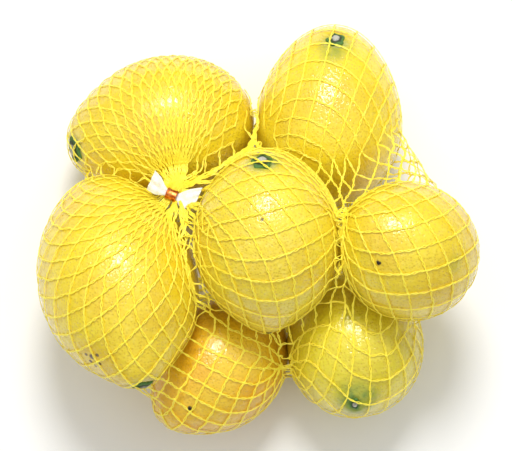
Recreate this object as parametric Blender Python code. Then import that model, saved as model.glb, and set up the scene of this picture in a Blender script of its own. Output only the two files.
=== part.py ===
"""Net of lemons: seven lemons heaped in one tight net, closed by a crimped white bow.

The bag is one closed solid out to the net: the seven lemons, the net stretched between them,
and the flat spots that it stands on. The crimp ring and the bow that runs through it lie in the
dip where the net's mouth is gathered. Sizes are in millimetres until MM turns them to metres.
"""

import math
from dataclasses import dataclass

import bmesh
import bpy
import numpy as np
from mathutils import Vector

MM = 0.001

# The net over the peel
NET_STAND_OFF = 0.9
REMESH_VOXEL = 5.0
SMOOTH_PASSES = 2
RINGS = 22
SEGMENTS = 30
BALL_POINTS = 60

# The whole heap is moved sideways by this, so that its box is centred on the origin
HEAP_SHIFT = (0.35, -1.45)

# The tie
TIE_CENTRE = (-35.2, 9.7, 62.7)
TIE_HEADING = -23.0
RING_OUTER_RADIUS = 2.45
RING_WALL = 0.5
RING_LENGTH = 4.6
RING_SIDES = 20
RING_EDGE = 0.12
TAPE_THICKNESS = 0.8
TAPE_NECK_HALF_WIDTH = 1.45
TAPE_NECK_HALF_HEIGHT = 0.7
TAPE_SQUARENESS = 1.6


@dataclass(frozen=True)
class Lemon:
    """One lemon: where it lies, which way its tip points, and how plump it is."""

    name: str
    centre: tuple
    girth: float
    tip_reach: float
    stem_reach: float
    heading: float
    pitch: float
    tip_height: float
    tip_spread: float
    stem_height: float = 2.0
    stem_spread: float = 22.0


LEMONS = (
    Lemon("top_left", (-38.4, 44.8, 31.0), 61.0, 43.5, 36.5, 192, 0, 5.0, 26, 1.0),
    Lemon("top_right", (31.1, 44.8, 31.0), 60.0, 44.0, 34.0, 85, 8, 4.0, 28, 1.0),
    Lemon("middle", (4.3, -10.8, 66.0), 58.5, 38.5, 38.0, 271, -15, 3.5, 16),
    Lemon("left", (-57.5, -24.8, 54.0), 64.0, 48.0, 48.0, 284, 18, 6.0, 16, 4.0, 24),
    Lemon("right", (61.1, -14.3, 66.0), 55.5, 33.0, 33.0, 340, -50, 4.0, 14),
    Lemon("bottom_right", (41.2, -48.0, 28.2), 56.0, 34.0, 34.0, 272, 30, 3.0, 14),
    Lemon("bottom_left", (-15.8, -55.8, 25.4), 51.5, 36.0, 31.0, 226, 15, 4.0, 20),
)

# Balls, as (x, y, z, radius), whose hulls are the net stretched between lemons
CORE_RADIUS = 6.0
NECK_BALL = (-33.5, 12.0, 51.5, 5.0)
RIGHT_GAP_BALLS = (
    (52.2, 38.5, 36.0, 9.0),
    (58.2, 21.6, 50.0, 9.0),
    (64.5, 3.5, 63.5, 12.0),
)
LEFT_GAP_BALLS = (
    (-49.5, -58.0, 62.0, 9.0),
    (-31.0, -69.0, 36.0, 9.0),
    (-18.0, -62.0, 26.0, 14.0),
)
FLOOR_LEMON_HEIGHT = 0.6
FOOT_RADIUS = 7.0
FOOT_DEPTH = 2.0

# The bow's outline beside the crimp: reach along the tape, upper edge, lower edge, lift
LEFT_WING = ((2.4, 1.45, -1.45, 0.0), (4.2, 2.6, -2.2, 1.0), (6.4, 4.6, -2.9, 2.2), (9.8, 6.0, -2.6, 3.8))
RIGHT_WING = ((2.4, 1.45, -1.45, 0.0), (4.0, 3.0, -2.2, 0.4), (6.6, 4.7, -3.0, 1.2), (10.6, 7.2, 1.0, 2.4))
WING_PLEAT_HEIGHT = 0.45
WING_PLEATS = 2.5
WING_COLUMNS = 12
WING_ROWS = 9


def clear_scene():
    """Removes everything that a new file holds."""
    for item in list(bpy.data.objects):
        bpy.data.objects.remove(item, do_unlink=True)


def make_material(name, colour, roughness, metallic=0.0):
    """A plain Principled material in linear colour."""
    material = bpy.data.materials.new(name)
    material.use_nodes = True
    shader = material.node_tree.nodes["Principled BSDF"]
    shader.inputs["Base Color"].default_value = (*colour, 1.0)
    shader.inputs["Roughness"].default_value = roughness
    shader.inputs["Metallic"].default_value = metallic
    material.diffuse_color = (*colour, 1.0)
    return material


def add_object(name, mesh, material=None):
    """Links a mesh to the scene under its name."""
    item = bpy.data.objects.new(name, mesh)
    bpy.context.scene.collection.objects.link(item)
    if material:
        mesh.materials.append(material)
    return item


def lemon_radius(lemon, cosine):
    """Distance from the lemon's middle to its peel, by the cosine of the angle from its tip."""
    half_girth = lemon.girth / 2
    if cosine > 0:
        half_length = lemon.tip_reach - lemon.tip_height
    else:
        half_length = lemon.stem_reach - lemon.stem_height
    sine_squared = 1 - cosine * cosine
    body = half_length * half_girth / math.sqrt((half_girth * cosine) ** 2 + half_length**2 * sine_squared)
    angle = math.degrees(math.acos(max(-1.0, min(1.0, cosine))))
    tip = lemon.tip_height * math.exp(-((angle / lemon.tip_spread) ** 2))
    stem = lemon.stem_height * math.exp(-(((180 - angle) / lemon.stem_spread) ** 2))
    return body + tip + stem


def lemon_axes(lemon):
    """The lemon's own axis, from stem to tip, and two directions square to it."""
    heading = math.radians(lemon.heading)
    pitch = math.radians(lemon.pitch)
    axis = Vector(
        (math.cos(pitch) * math.cos(heading), math.cos(pitch) * math.sin(heading), math.sin(pitch))
    )
    side = Vector((-math.sin(heading), math.cos(heading), 0))
    return axis, side, axis.cross(side)


def lemon_bmesh(bm, lemon):
    """Adds one closed lemon, as large as the net over it, to the mesh."""
    axis, side, third = lemon_axes(lemon)
    centre = Vector(lemon.centre)

    def peel_point(angle, turn):
        reach = lemon_radius(lemon, math.cos(angle)) + NET_STAND_OFF
        across = math.cos(turn) * side + math.sin(turn) * third
        return (centre + reach * (math.cos(angle) * axis + math.sin(angle) * across)) * MM

    tip = bm.verts.new(peel_point(0, 0))
    stem = bm.verts.new(peel_point(math.pi, 0))
    rings = []
    for row in range(1, RINGS):
        angle = math.pi * row / RINGS
        turns = [2 * math.pi * column / SEGMENTS for column in range(SEGMENTS)]
        rings.append([bm.verts.new(peel_point(angle, turn)) for turn in turns])
    for column in range(SEGMENTS):
        after = (column + 1) % SEGMENTS
        bm.faces.new((tip, rings[0][column], rings[0][after]))
        bm.faces.new((stem, rings[-1][after], rings[-1][column]))
        for upper, lower in zip(rings, rings[1:]):
            bm.faces.new((upper[column], lower[column], lower[after], upper[after]))


def ball_points(x, y, z, radius):
    """Points spread evenly over a ball, on a spiral from its top to its bottom."""
    golden_turn = math.pi * (3 - math.sqrt(5))
    points = []
    for step in range(BALL_POINTS):
        height = 1 - 2 * (step + 0.5) / BALL_POINTS
        wide = math.sqrt(1 - height * height)
        turn = golden_turn * step
        across = (radius * wide * math.cos(turn), radius * wide * math.sin(turn))
        points.append((x + across[0], y + across[1], z + radius * height))
    return points


def hull_bmesh(bm, balls):
    """Adds the convex hull of some balls, each given as (x, y, z, radius)."""
    points = [point for ball in balls for point in ball_points(*ball)]
    verts = [bm.verts.new(Vector(point) * MM) for point in points]
    result = bmesh.ops.convex_hull(bm, input=verts)
    inside = [item for item in result["geom_interior"] if isinstance(item, bmesh.types.BMVert)]
    bmesh.ops.delete(bm, geom=inside, context="VERTS")


def keep_outer_body(bm):
    """Drops sealed hollows and scraps, so that one closed body is left."""
    left = set(bm.verts)
    islands = []
    while left:
        stack = [left.pop()]
        island = set(stack)
        while stack:
            for edge in stack.pop().link_edges:
                for vert in edge.verts:
                    if vert in left:
                        left.discard(vert)
                        island.add(vert)
                        stack.append(vert)
        islands.append(island)
    islands.sort(key=len, reverse=True)
    scraps = [vert for island in islands[1:] for vert in island]
    bmesh.ops.delete(bm, geom=scraps, context="VERTS")


def cut_flat_base(bm):
    """Cuts off what is below the table and closes the cut."""
    geometry = bm.verts[:] + bm.edges[:] + bm.faces[:]
    cut = bmesh.ops.bisect_plane(
        bm, geom=geometry, dist=1e-6, plane_co=(0, 0, 0), plane_no=(0, 0, -1), clear_outer=True
    )
    rim = [item for item in cut["geom_cut"] if isinstance(item, bmesh.types.BMEdge)]
    bmesh.ops.holes_fill(bm, edges=rim, sides=0)
    bmesh.ops.remove_doubles(bm, verts=bm.verts[:], dist=0.05 * MM)
    bmesh.ops.triangulate(bm, faces=bm.faces[:])


def build_bag(material):
    """The bag: lemons and stretched net joined, remeshed to one skin and cut flat below."""
    bm = bmesh.new()
    for lemon in LEMONS:
        lemon_bmesh(bm, lemon)
    core = [(*lemon.centre, CORE_RADIUS) for lemon in LEMONS]
    low_lemons = [lemon for lemon in LEMONS if lemon.centre[2] < lemon.girth * FLOOR_LEMON_HEIGHT]
    feet = [(*lemon.centre[:2], FOOT_RADIUS - FOOT_DEPTH, FOOT_RADIUS) for lemon in low_lemons]
    hull_bmesh(bm, core + feet + [NECK_BALL])
    for balls in (RIGHT_GAP_BALLS, LEFT_GAP_BALLS):
        for pair in zip(balls, balls[1:]):
            hull_bmesh(bm, pair)
    mesh = bpy.data.meshes.new("heap")
    bm.to_mesh(mesh)
    bm.free()
    heap = add_object("heap", mesh)
    remesh = heap.modifiers.new("skin", "REMESH")
    remesh.mode = "VOXEL"
    remesh.voxel_size = REMESH_VOXEL * MM
    smooth = heap.modifiers.new("even", "SMOOTH")
    smooth.factor = 0.5
    smooth.iterations = SMOOTH_PASSES
    evaluated = heap.evaluated_get(bpy.context.evaluated_depsgraph_get())
    skin = bpy.data.meshes.new_from_object(evaluated)
    bpy.data.objects.remove(heap, do_unlink=True)

    bm = bmesh.new()
    bm.from_mesh(skin)
    keep_outer_body(bm)
    cut_flat_base(bm)
    bmesh.ops.recalc_face_normals(bm, faces=bm.faces[:])
    bm.to_mesh(skin)
    bm.free()
    skin.shade_smooth()
    skin.set_sharp_from_angle(angle=math.radians(50))
    return add_object("lemon_net_bag", skin, material)


def build_crimp_ring(material):
    """The crimped ring: a short tube round the tape, its axis along X."""
    bm = bmesh.new()
    inner = RING_OUTER_RADIUS - RING_WALL
    half = RING_LENGTH / 2
    profile = (
        (-half, inner + RING_EDGE),
        (-half + RING_EDGE, inner),
        (half - RING_EDGE, inner),
        (half, inner + RING_EDGE),
        (half, RING_OUTER_RADIUS - RING_EDGE),
        (half - RING_EDGE, RING_OUTER_RADIUS),
        (-half + RING_EDGE, RING_OUTER_RADIUS),
        (-half, RING_OUTER_RADIUS - RING_EDGE),
    )
    loops = []
    for step in range(RING_SIDES):
        turn = 2 * math.pi * step / RING_SIDES
        loops.append(
            [bm.verts.new(Vector((x, r * math.cos(turn), r * math.sin(turn))) * MM) for x, r in profile]
        )
    for here, there in zip(loops, loops[1:] + loops[:1]):
        for step in range(len(profile)):
            after = (step + 1) % len(profile)
            bm.faces.new((here[step], there[step], there[after], here[after]))
    bmesh.ops.recalc_face_normals(bm, faces=bm.faces[:])
    mesh = bpy.data.meshes.new("crimp_ring")
    bm.to_mesh(mesh)
    bm.free()
    mesh.shade_smooth()
    mesh.set_sharp_from_angle(angle=math.radians(35))
    return add_object("crimp_ring", mesh, material)


def wing_section(wing, sign, share):
    """One cross-section of a wing, as reach, upper edge, lower edge and lift at that share of it."""
    reaches = [station[0] for station in wing]
    reach = reaches[0] + (reaches[-1] - reaches[0]) * share
    upper, lower, lift = (np.interp(reach, reaches, [station[k] for station in wing]) for k in (1, 2, 3))
    return sign * reach, upper, lower, lift


def tape_sections():
    """The tape's cross-sections from its left end, through the ring, to its right end."""
    shares = [row / (WING_ROWS - 1) for row in range(WING_ROWS)]
    left = [(*wing_section(LEFT_WING, -1, share), share) for share in reversed(shares)]
    neck = (0.0, TAPE_NECK_HALF_WIDTH, -TAPE_NECK_HALF_WIDTH, 0.0, 0.0)
    right = [(*wing_section(RIGHT_WING, 1, share), share) for share in shares]
    return left + [neck] + right


def build_bow(material):
    """The bow: one pleated tape, oval where the ring grips it and wide and thin at both ends."""
    bm = bmesh.new()
    loops = []
    for reach, upper, lower, lift, share in tape_sections():
        half_width = (upper - lower) / 2
        middle = (upper + lower) / 2
        half_height = TAPE_NECK_HALF_HEIGHT + (TAPE_THICKNESS / 2 - TAPE_NECK_HALF_HEIGHT) * share
        loop = []
        for step in range(2 * WING_COLUMNS):
            turn = math.pi * step / WING_COLUMNS
            across = math.cos(turn)
            pleat = WING_PLEAT_HEIGHT * share * math.sin(WING_PLEATS * math.pi * across)
            thick = half_height * max(-1.0, min(1.0, TAPE_SQUARENESS * math.sin(turn)))
            point = Vector((reach, middle + half_width * across, lift + pleat + thick))
            loop.append(bm.verts.new(point * MM))
        loops.append(loop)
    for here, there in zip(loops, loops[1:]):
        for step in range(2 * WING_COLUMNS):
            after = (step + 1) % (2 * WING_COLUMNS)
            bm.faces.new((here[step], there[step], there[after], here[after]))
    for loop, turned in ((loops[0], False), (loops[-1], True)):
        for step in range(WING_COLUMNS):
            corners = [loop[step], loop[step + 1], loop[-step - 1], loop[-step]]
            corners = list(dict.fromkeys(corners))
            bm.faces.new(corners if turned else corners[::-1])
    bmesh.ops.recalc_face_normals(bm, faces=bm.faces[:])
    bmesh.ops.triangulate(bm, faces=bm.faces[:])
    mesh = bpy.data.meshes.new("bow")
    bm.to_mesh(mesh)
    bm.free()
    mesh.shade_smooth()
    mesh.set_sharp_from_angle(angle=math.radians(50))
    return add_object("bow_tape", mesh, material)


def place_heap(items, tie):
    """Puts the tie in its dip, and everything where the heap's box is centred on the origin."""
    for item in tie:
        item.location = Vector(TIE_CENTRE) * MM
        item.rotation_euler = (0, 0, math.radians(TIE_HEADING))
    for item in items:
        item.location += Vector((*HEAP_SHIFT, 0)) * MM


def main():
    """Builds the bag, the crimp ring and the bow."""
    clear_scene()
    net = make_material("net_yellow", (0.85, 0.66, 0.05), 0.45)
    copper = make_material("copper_ring", (0.55, 0.17, 0.03), 0.35, 0.8)
    white = make_material("white_tape", (0.86, 0.86, 0.84), 0.5)
    bag = build_bag(net)
    ring = build_crimp_ring(copper)
    bow = build_bow(white)
    place_heap([bag, ring, bow], [ring, bow])


main()
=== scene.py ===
"""A net of lemons: seven lemons in a yellow knitted net that a white tape and a crimped ring close."""

import logging
import math
from collections.abc import Callable, Sequence
from dataclasses import dataclass, field, replace
from enum import Enum

import bmesh
import bpy
import numpy as np
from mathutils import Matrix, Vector


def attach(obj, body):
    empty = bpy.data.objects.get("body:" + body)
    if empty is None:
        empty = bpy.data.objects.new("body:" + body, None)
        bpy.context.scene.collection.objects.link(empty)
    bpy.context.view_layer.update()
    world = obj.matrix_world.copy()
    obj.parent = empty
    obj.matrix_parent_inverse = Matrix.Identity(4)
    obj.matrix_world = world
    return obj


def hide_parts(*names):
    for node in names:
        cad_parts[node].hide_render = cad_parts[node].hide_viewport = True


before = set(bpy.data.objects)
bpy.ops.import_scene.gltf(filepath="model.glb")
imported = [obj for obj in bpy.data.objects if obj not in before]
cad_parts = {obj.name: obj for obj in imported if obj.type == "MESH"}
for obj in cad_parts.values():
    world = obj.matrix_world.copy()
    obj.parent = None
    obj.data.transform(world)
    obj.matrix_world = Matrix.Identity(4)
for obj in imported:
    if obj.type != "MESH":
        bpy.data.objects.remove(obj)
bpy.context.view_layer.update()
LOG = logging.getLogger("net_of_lemons")

Array = np.ndarray
Triple = tuple[float, float, float]
Move = Callable[[Array], Array]
Tree = bpy.types.NodeTree
Node = bpy.types.Node
Socket = bpy.types.NodeSocket
Material = bpy.types.Material
Piece = bpy.types.Object

MM = 0.001
BODY = "root"
BAG_NODE = "lemon_net_bag"
RING_NODE = "crimp_ring"
BOW_NODE = "bow_tape"

# The whole heap is moved sideways by this, in mm, so that its box is centred on the origin.
HEAP_SHIFT = (0.35, -1.45)
# The tie, in mm before that move, and how far its tape is turned about the vertical.
TIE_CENTRE = (-35.2, 9.7, 62.7)
TIE_HEADING = -23.0
# Where the net is drawn together: under the tie, and below the heap.
TOP_GATHER = (-33.2, 12.4, 59.5)
TOP_GATHER_RADIUS = 2.0
LOW_GATHER = (34.0, -10.0, 3.0)
LOW_GATHER_RADIUS = 3.0


# Small tools


def in_frame(points: Array) -> Array:
    """Turns points of the heap, in mm, into the shared frame's metres.

    Args:
        points: Places in the heap's own coordinates.

    Returns:
        The same places in metres, moved by the heap's shift.
    """
    return (np.asarray(points, float) + np.array([*HEAP_SHIFT, 0.0])) * MM


def linear(colour: str) -> tuple[float, float, float, float]:
    """Turns an sRGB hex colour into a linear one.

    Args:
        colour: Six hex digits, such as "F2C230".

    Returns:
        Red, green, blue and alpha for a shader's socket.
    """
    parts = [int(colour[step : step + 2], 16) / 255 for step in (0, 2, 4)]
    bent = [part / 12.92 if part <= 0.04045 else ((part + 0.055) / 1.055) ** 2.4 for part in parts]
    return (*bent, 1.0)


def add_node(tree: Tree, kind: str, inputs: dict | None = None, **settings: object) -> Node:
    """Adds a node with its settings and links.

    Args:
        tree: The tree that gets the node.
        kind: The node's type name.
        inputs: For each input, by name or number, a socket to link from or a value to set.
        settings: The node's own properties.

    Returns:
        The new node.
    """
    node = tree.nodes.new(kind)
    for name, value in settings.items():
        setattr(node, name, value)
    for key, value in (inputs or {}).items():
        socket = node.inputs[key]
        if isinstance(value, Socket):
            tree.links.new(value, socket)
        else:
            socket.default_value = value
    return node


def maths(tree: Tree, operation: str, *values: Socket | float, **settings: object) -> Socket:
    """The result of a Math node that works on these sockets or values."""
    inputs = dict(enumerate(values))
    return add_node(tree, "ShaderNodeMath", inputs, operation=operation, **settings).outputs[0]


def vector_maths(tree: Tree, operation: str, inputs: dict) -> Socket:
    """The result of a Vector Math node with these inputs."""
    return add_node(tree, "ShaderNodeVectorMath", inputs, operation=operation).outputs[0]


def unit(vectors: Array) -> Array:
    """The vectors' directions, each with a length of one."""
    return vectors / np.maximum(np.linalg.norm(vectors, axis=1), 1e-6)[:, None]


def along_line(points: Array, start: Array, end: Array, held: bool = True) -> tuple[Array, Array]:
    """Finds points beside a straight line.

    Args:
        points: Places in mm.
        start: Where the line starts.
        end: Where it ends.
        held: Whether places past its ends count as at them.

    Returns:
        Each point's share of the way along the line, and how it stands off the line there.
    """
    run = end - start
    share = ((points - start) @ run) / (run @ run)
    if held:
        share = np.clip(share, 0, 1)
    return share, points - (start + share[:, None] * run)


def mesh_object(
    name: str, points: Array, faces: Sequence[Sequence[int]], material: Material, closed: bool = True
) -> Piece:
    """Makes an object at the origin from points in metres.

    Args:
        name: The piece's name.
        points: The vertices.
        faces: The faces, as vertex numbers.
        material: The piece's finish.
        closed: Whether the faces are turned outwards, as a closed skin allows.

    Returns:
        The object, linked to the scene.
    """
    mesh = bpy.data.meshes.new(name)
    mesh.from_pydata([tuple(point) for point in points], [], faces)
    if closed:
        bm = bmesh.new()
        bm.from_mesh(mesh)
        bmesh.ops.recalc_face_normals(bm, faces=bm.faces[:])
        bm.to_mesh(mesh)
        bm.free()
    mesh.shade_smooth()
    mesh.materials.append(material)
    made = bpy.data.objects.new(name, mesh)
    bpy.context.scene.collection.objects.link(made)
    return made


def hand_over(piece: Piece, node: str) -> None:
    """Puts a finished piece on the body, in place of a CAD node.

    Args:
        piece: The finished object.
        node: The CAD node that the piece stands for.
    """
    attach(piece, BODY)
    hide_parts(node)
    triangles = sum(len(polygon.vertices) - 2 for polygon in piece.data.polygons)
    LOG.info("%s: %d triangles", piece.name, triangles)


def direction(heading: float, pitch: float) -> Array:
    """Turns two angles into a direction.

    Args:
        heading: Degrees about the vertical, from the X axis.
        pitch: Degrees above the horizontal.

    Returns:
        The unit direction.
    """
    turn, rise = math.radians(heading), math.radians(pitch)
    flat = math.cos(rise)
    return np.array([flat * math.cos(turn), flat * math.sin(turn), math.sin(rise)])


# The lemons' shapes


class EndKind(Enum):
    """What grows at one end of a lemon."""

    BUTTON = "the dried green button that the stalk leaves"
    SCAR = "the small dark scar that the flower leaves"


@dataclass(frozen=True)
class End:
    """One end of a lemon: what grows there, its direction from the centre in degrees, its radius in mm."""

    kind: EndKind
    heading: float
    pitch: float
    radius: float


@dataclass(frozen=True)
class Lemon:
    """One lemon, in mm and degrees: an ellipsoid with a nipple at its tip and a low neck at its stem."""

    name: str
    centre: Triple
    girth: float
    tip_reach: float
    stem_reach: float
    heading: float
    pitch: float
    tip_height: float
    tip_spread: float
    stem_height: float = 2.0
    stem_spread: float = 22.0

    def middle(self) -> Array:
        """The lemon's centre as an array."""
        return np.array(self.centre, float)

    def axis(self) -> Array:
        """The unit direction from the centre to the tip."""
        return direction(self.heading, self.pitch)

    def frame(self) -> tuple[Array, Array, Array]:
        """Sets up the lemon's own directions.

        Returns:
            The axis and two unit directions across it.
        """
        axis = self.axis()
        turn = math.radians(self.heading)
        side = np.array([-math.sin(turn), math.cos(turn), 0.0])
        return axis, side, np.cross(axis, side)

    def reach(self, angle: Array) -> Array:
        """How far the smooth peel stands from the centre.

        Args:
            angle: Angles from the tip, in radians.

        Returns:
            Distances in mm.
        """
        along = np.cos(angle)
        half_girth = self.girth / 2
        tip_half = self.tip_reach - self.tip_height
        stem_half = self.stem_reach - self.stem_height
        half_length = np.where(along > 0, tip_half, stem_half)
        across_square = half_length**2 * (1 - along * along)
        body = half_length * half_girth / np.sqrt((half_girth * along) ** 2 + across_square)
        degrees = np.degrees(angle)
        tip = self.tip_height * np.exp(-((degrees / self.tip_spread) ** 2))
        stem = self.stem_height * np.exp(-(((180 - degrees) / self.stem_spread) ** 2))
        return body + tip + stem


LEMONS = (
    Lemon("top_left", (-38.4, 44.8, 31.0), 61.0, 43.5, 37.3, 192, 0, 5.0, 26, 1.0),
    Lemon("top_right", (29.9, 44.8, 31.2), 62.2, 44.0, 34.0, 85, 8, 4.0, 28, 1.0),
    Lemon("middle", (3.8, -10.5, 66.0), 60.1, 37.0, 38.0, 271, -15, 3.5, 18),
    Lemon("left", (-57.0, -24.8, 54.0), 65.4, 48.0, 48.0, 284, 18, 6.0, 16, 4.0, 24),
    Lemon("right", (61.1, -14.3, 66.0), 55.5, 33.0, 33.0, 340, -50, 4.0, 14),
    Lemon("bottom_right", (40.5, -48.0, 28.9), 57.4, 34.0, 34.0, 269, 30, 3.0, 14),
    Lemon("bottom_left", (-15.5, -55.6, 25.8), 52.4, 36.0, 33.0, 226, 15, 4.0, 20),
)
BY_NAME = {lemon.name: lemon for lemon in LEMONS}


def near(name: str, across: float, away: float, up: float) -> Array:
    """A point that stands off a lemon's centre by so many mm along X, Y and Z."""
    return BY_NAME[name].middle() + np.array([across, away, up])


def foot(name: str) -> Array:
    """The point on the table, in mm, that a low lemon stands over."""
    x, y, _ = BY_NAME[name].centre
    return np.array([x, y, 3.4])


# Distances that the net is laid out with


class LemonField:
    """How far any point is from one lemon's peel, raised by the net's stand-off."""

    def __init__(self, lemon: Lemon, stand_off: float) -> None:
        """Tables the lemon's outline.

        Args:
            lemon: The lemon.
            stand_off: How far the net's middle stands off the peel, in mm.
        """
        self.centre = lemon.middle()
        self.axis = lemon.axis()
        self.angles = np.linspace(0, math.pi, 361)
        self.reach = lemon.reach(self.angles) + stand_off
        self.slope = np.gradient(self.reach, self.angles)

    def distance(self, points: Array) -> tuple[Array, Array]:
        """Distance and outward direction at each point.

        Args:
            points: Places in mm.

        Returns:
            Signed distances, negative inside, and unit directions outwards.
        """
        offset = points - self.centre
        far = np.linalg.norm(offset, axis=-1)
        ray = offset / np.maximum(far, 1e-9)[:, None]
        along = np.clip(ray @ self.axis, -1, 1)
        angle = np.arccos(along)
        reach = np.interp(angle, self.angles, self.reach)
        slope = np.interp(angle, self.angles, self.slope)
        across = np.sqrt(np.maximum(1 - along * along, 1e-9))
        from_tip = (along[:, None] * ray - self.axis) / across[:, None]
        outward = ray - (slope / np.maximum(far, 1.0))[:, None] * from_tip
        size = np.linalg.norm(outward, axis=-1)
        return (far - reach) / size, outward / size[:, None]


@dataclass(frozen=True)
class Span:
    """A rounded bar between two points, over which the net stretches across an open gap."""

    start: Triple
    end: Triple
    start_radius: float
    end_radius: float

    def distance(self, points: Array) -> tuple[Array, Array]:
        """Distance and outward direction at each point.

        Args:
            points: Places in mm.

        Returns:
            Signed distances, negative inside, and unit directions outwards.
        """
        share, offset = along_line(points, np.array(self.start), np.array(self.end))
        far = np.linalg.norm(offset, axis=-1)
        radius = self.start_radius + (self.end_radius - self.start_radius) * share
        return far - radius, offset / np.maximum(far, 1e-9)[:, None]


@dataclass(frozen=True)
class Web:
    """A rounded triangle between lemons, into which the net dips but through which it doesn't fall."""

    first: Array
    second: Array
    third: Array
    radius: float

    def distance(self, points: Array) -> tuple[Array, Array]:
        """Distance and outward direction at each point.

        Args:
            points: Places in mm.

        Returns:
            Signed distances, negative inside, and unit directions outwards.
        """
        sides = ((self.first, self.second), (self.second, self.third), (self.third, self.first))
        normal = np.cross(self.second - self.first, self.third - self.first)
        normal = normal / np.linalg.norm(normal)
        height = (points - self.first) @ normal
        flat = points - height[:, None] * normal
        inside = np.ones(len(points), bool)
        for here, there in sides:
            inside &= ((flat - here) @ np.cross(normal, there - here)) >= 0
        far = np.where(inside, np.abs(height), 1e9)
        offset = np.where(inside[:, None], height[:, None] * normal, 0)
        for here, there in sides:
            to_edge = along_line(points, here, there)[1]
            edge_far = np.linalg.norm(to_edge, axis=1)
            closer = ~inside & (edge_far < far)
            far = np.where(closer, edge_far, far)
            offset = np.where(closer[:, None], to_edge, offset)
        return far - self.radius, offset / np.maximum(far, 1e-9)[:, None]


# The net is taut over the open gap at the right, over the one between the two lemons at the left, and
# where it comes down from the tie beside the middle lemon.
GAP_SPANS = (
    Span((52.2, 38.5, 36.0), (58.2, 21.6, 50.0), 9.0, 9.0),
    Span((58.2, 21.6, 50.0), (64.5, 3.5, 63.5), 9.0, 12.0),
    Span((-49.5, -58.0, 62.0), (-31.0, -69.0, 36.0), 9.0, 9.0),
    Span((-31.0, -69.0, 36.0), (-18.0, -62.0, 26.0), 9.0, 14.0),
    Span((-31.0, 6.0, 60.0), (-27.0, -12.0, 63.0), 5.0, 5.5),
    Span((-27.0, -12.0, 63.0), (-26.0, -32.0, 60.0), 5.5, 5.0),
)
HOLLOW_WEBS = (
    # between the lemons that show from above
    Web(near("middle", 10, -10, 4), near("right", -10, -8, 4), near("bottom_right", -4, 8, 12), 6.0),
    Web(near("middle", 0, -14, -2), near("bottom_right", -10, 4, 8), near("bottom_left", 8, 6, 8), 6.0),
    Web(near("middle", -12, -8, -2), near("left", 14, -12, 2), near("bottom_left", -2, 8, 10), 6.0),
    Web(near("middle", 12, 10, 2), near("right", -10, 10, 2), near("top_right", 6, -12, 8), 6.0),
    Web(near("middle", 0, 14, -8), near("top_left", 14, -6, 4), near("top_right", -12, -6, 4), 6.0),
    Web(near("middle", -14, 10, -4), near("top_left", 2, -14, 10), near("left", 12, 18, 2), 5.0),
    Web(near("left", 10, 0, 4), near("middle", -14, 0, -6), near("left", 10, 18, 2), 6.0),
    Web(near("middle", 14, 0, -2), near("right", -14, 0, -2), near("right", -10, 10, -2), 6.0),
    # at the sides, down to the table
    Web(foot("top_left"), foot("top_right"), near("top_right", -8, -4, 0), 6.0),
    Web(foot("top_left"), near("top_left", 8, -4, 0), near("top_right", -8, -4, 0), 6.0),
    Web(foot("bottom_left"), foot("bottom_right"), near("bottom_right", -8, 4, 0), 6.0),
    Web(foot("bottom_left"), near("bottom_left", 8, 4, 0), near("bottom_right", -8, 4, 0), 6.0),
    Web(foot("top_left"), foot("bottom_left"), near("left", 10, 0, -16), 5.0),
    Web(foot("top_right"), foot("bottom_right"), near("right", -8, 4, -16), 5.0),
    Web(near("top_left", -6, -6, 0), near("left", 6, 12, -8), foot("top_left"), 6.0),
    Web(near("bottom_left", -6, 6, 0), near("left", 8, -14, -10), foot("bottom_left"), 6.0),
    Web(near("right", -4, -8, -8), near("bottom_right", 6, 8, 0), foot("bottom_right"), 6.0),
    Web(near("top_right", 6, -6, 0), near("right", 0, 8, -12), foot("top_right"), 6.0),
    # under the heap
    Web(foot("top_left"), foot("top_right"), foot("bottom_right"), 2.6),
    Web(foot("top_left"), foot("bottom_right"), foot("bottom_left"), 2.6),
)


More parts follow.
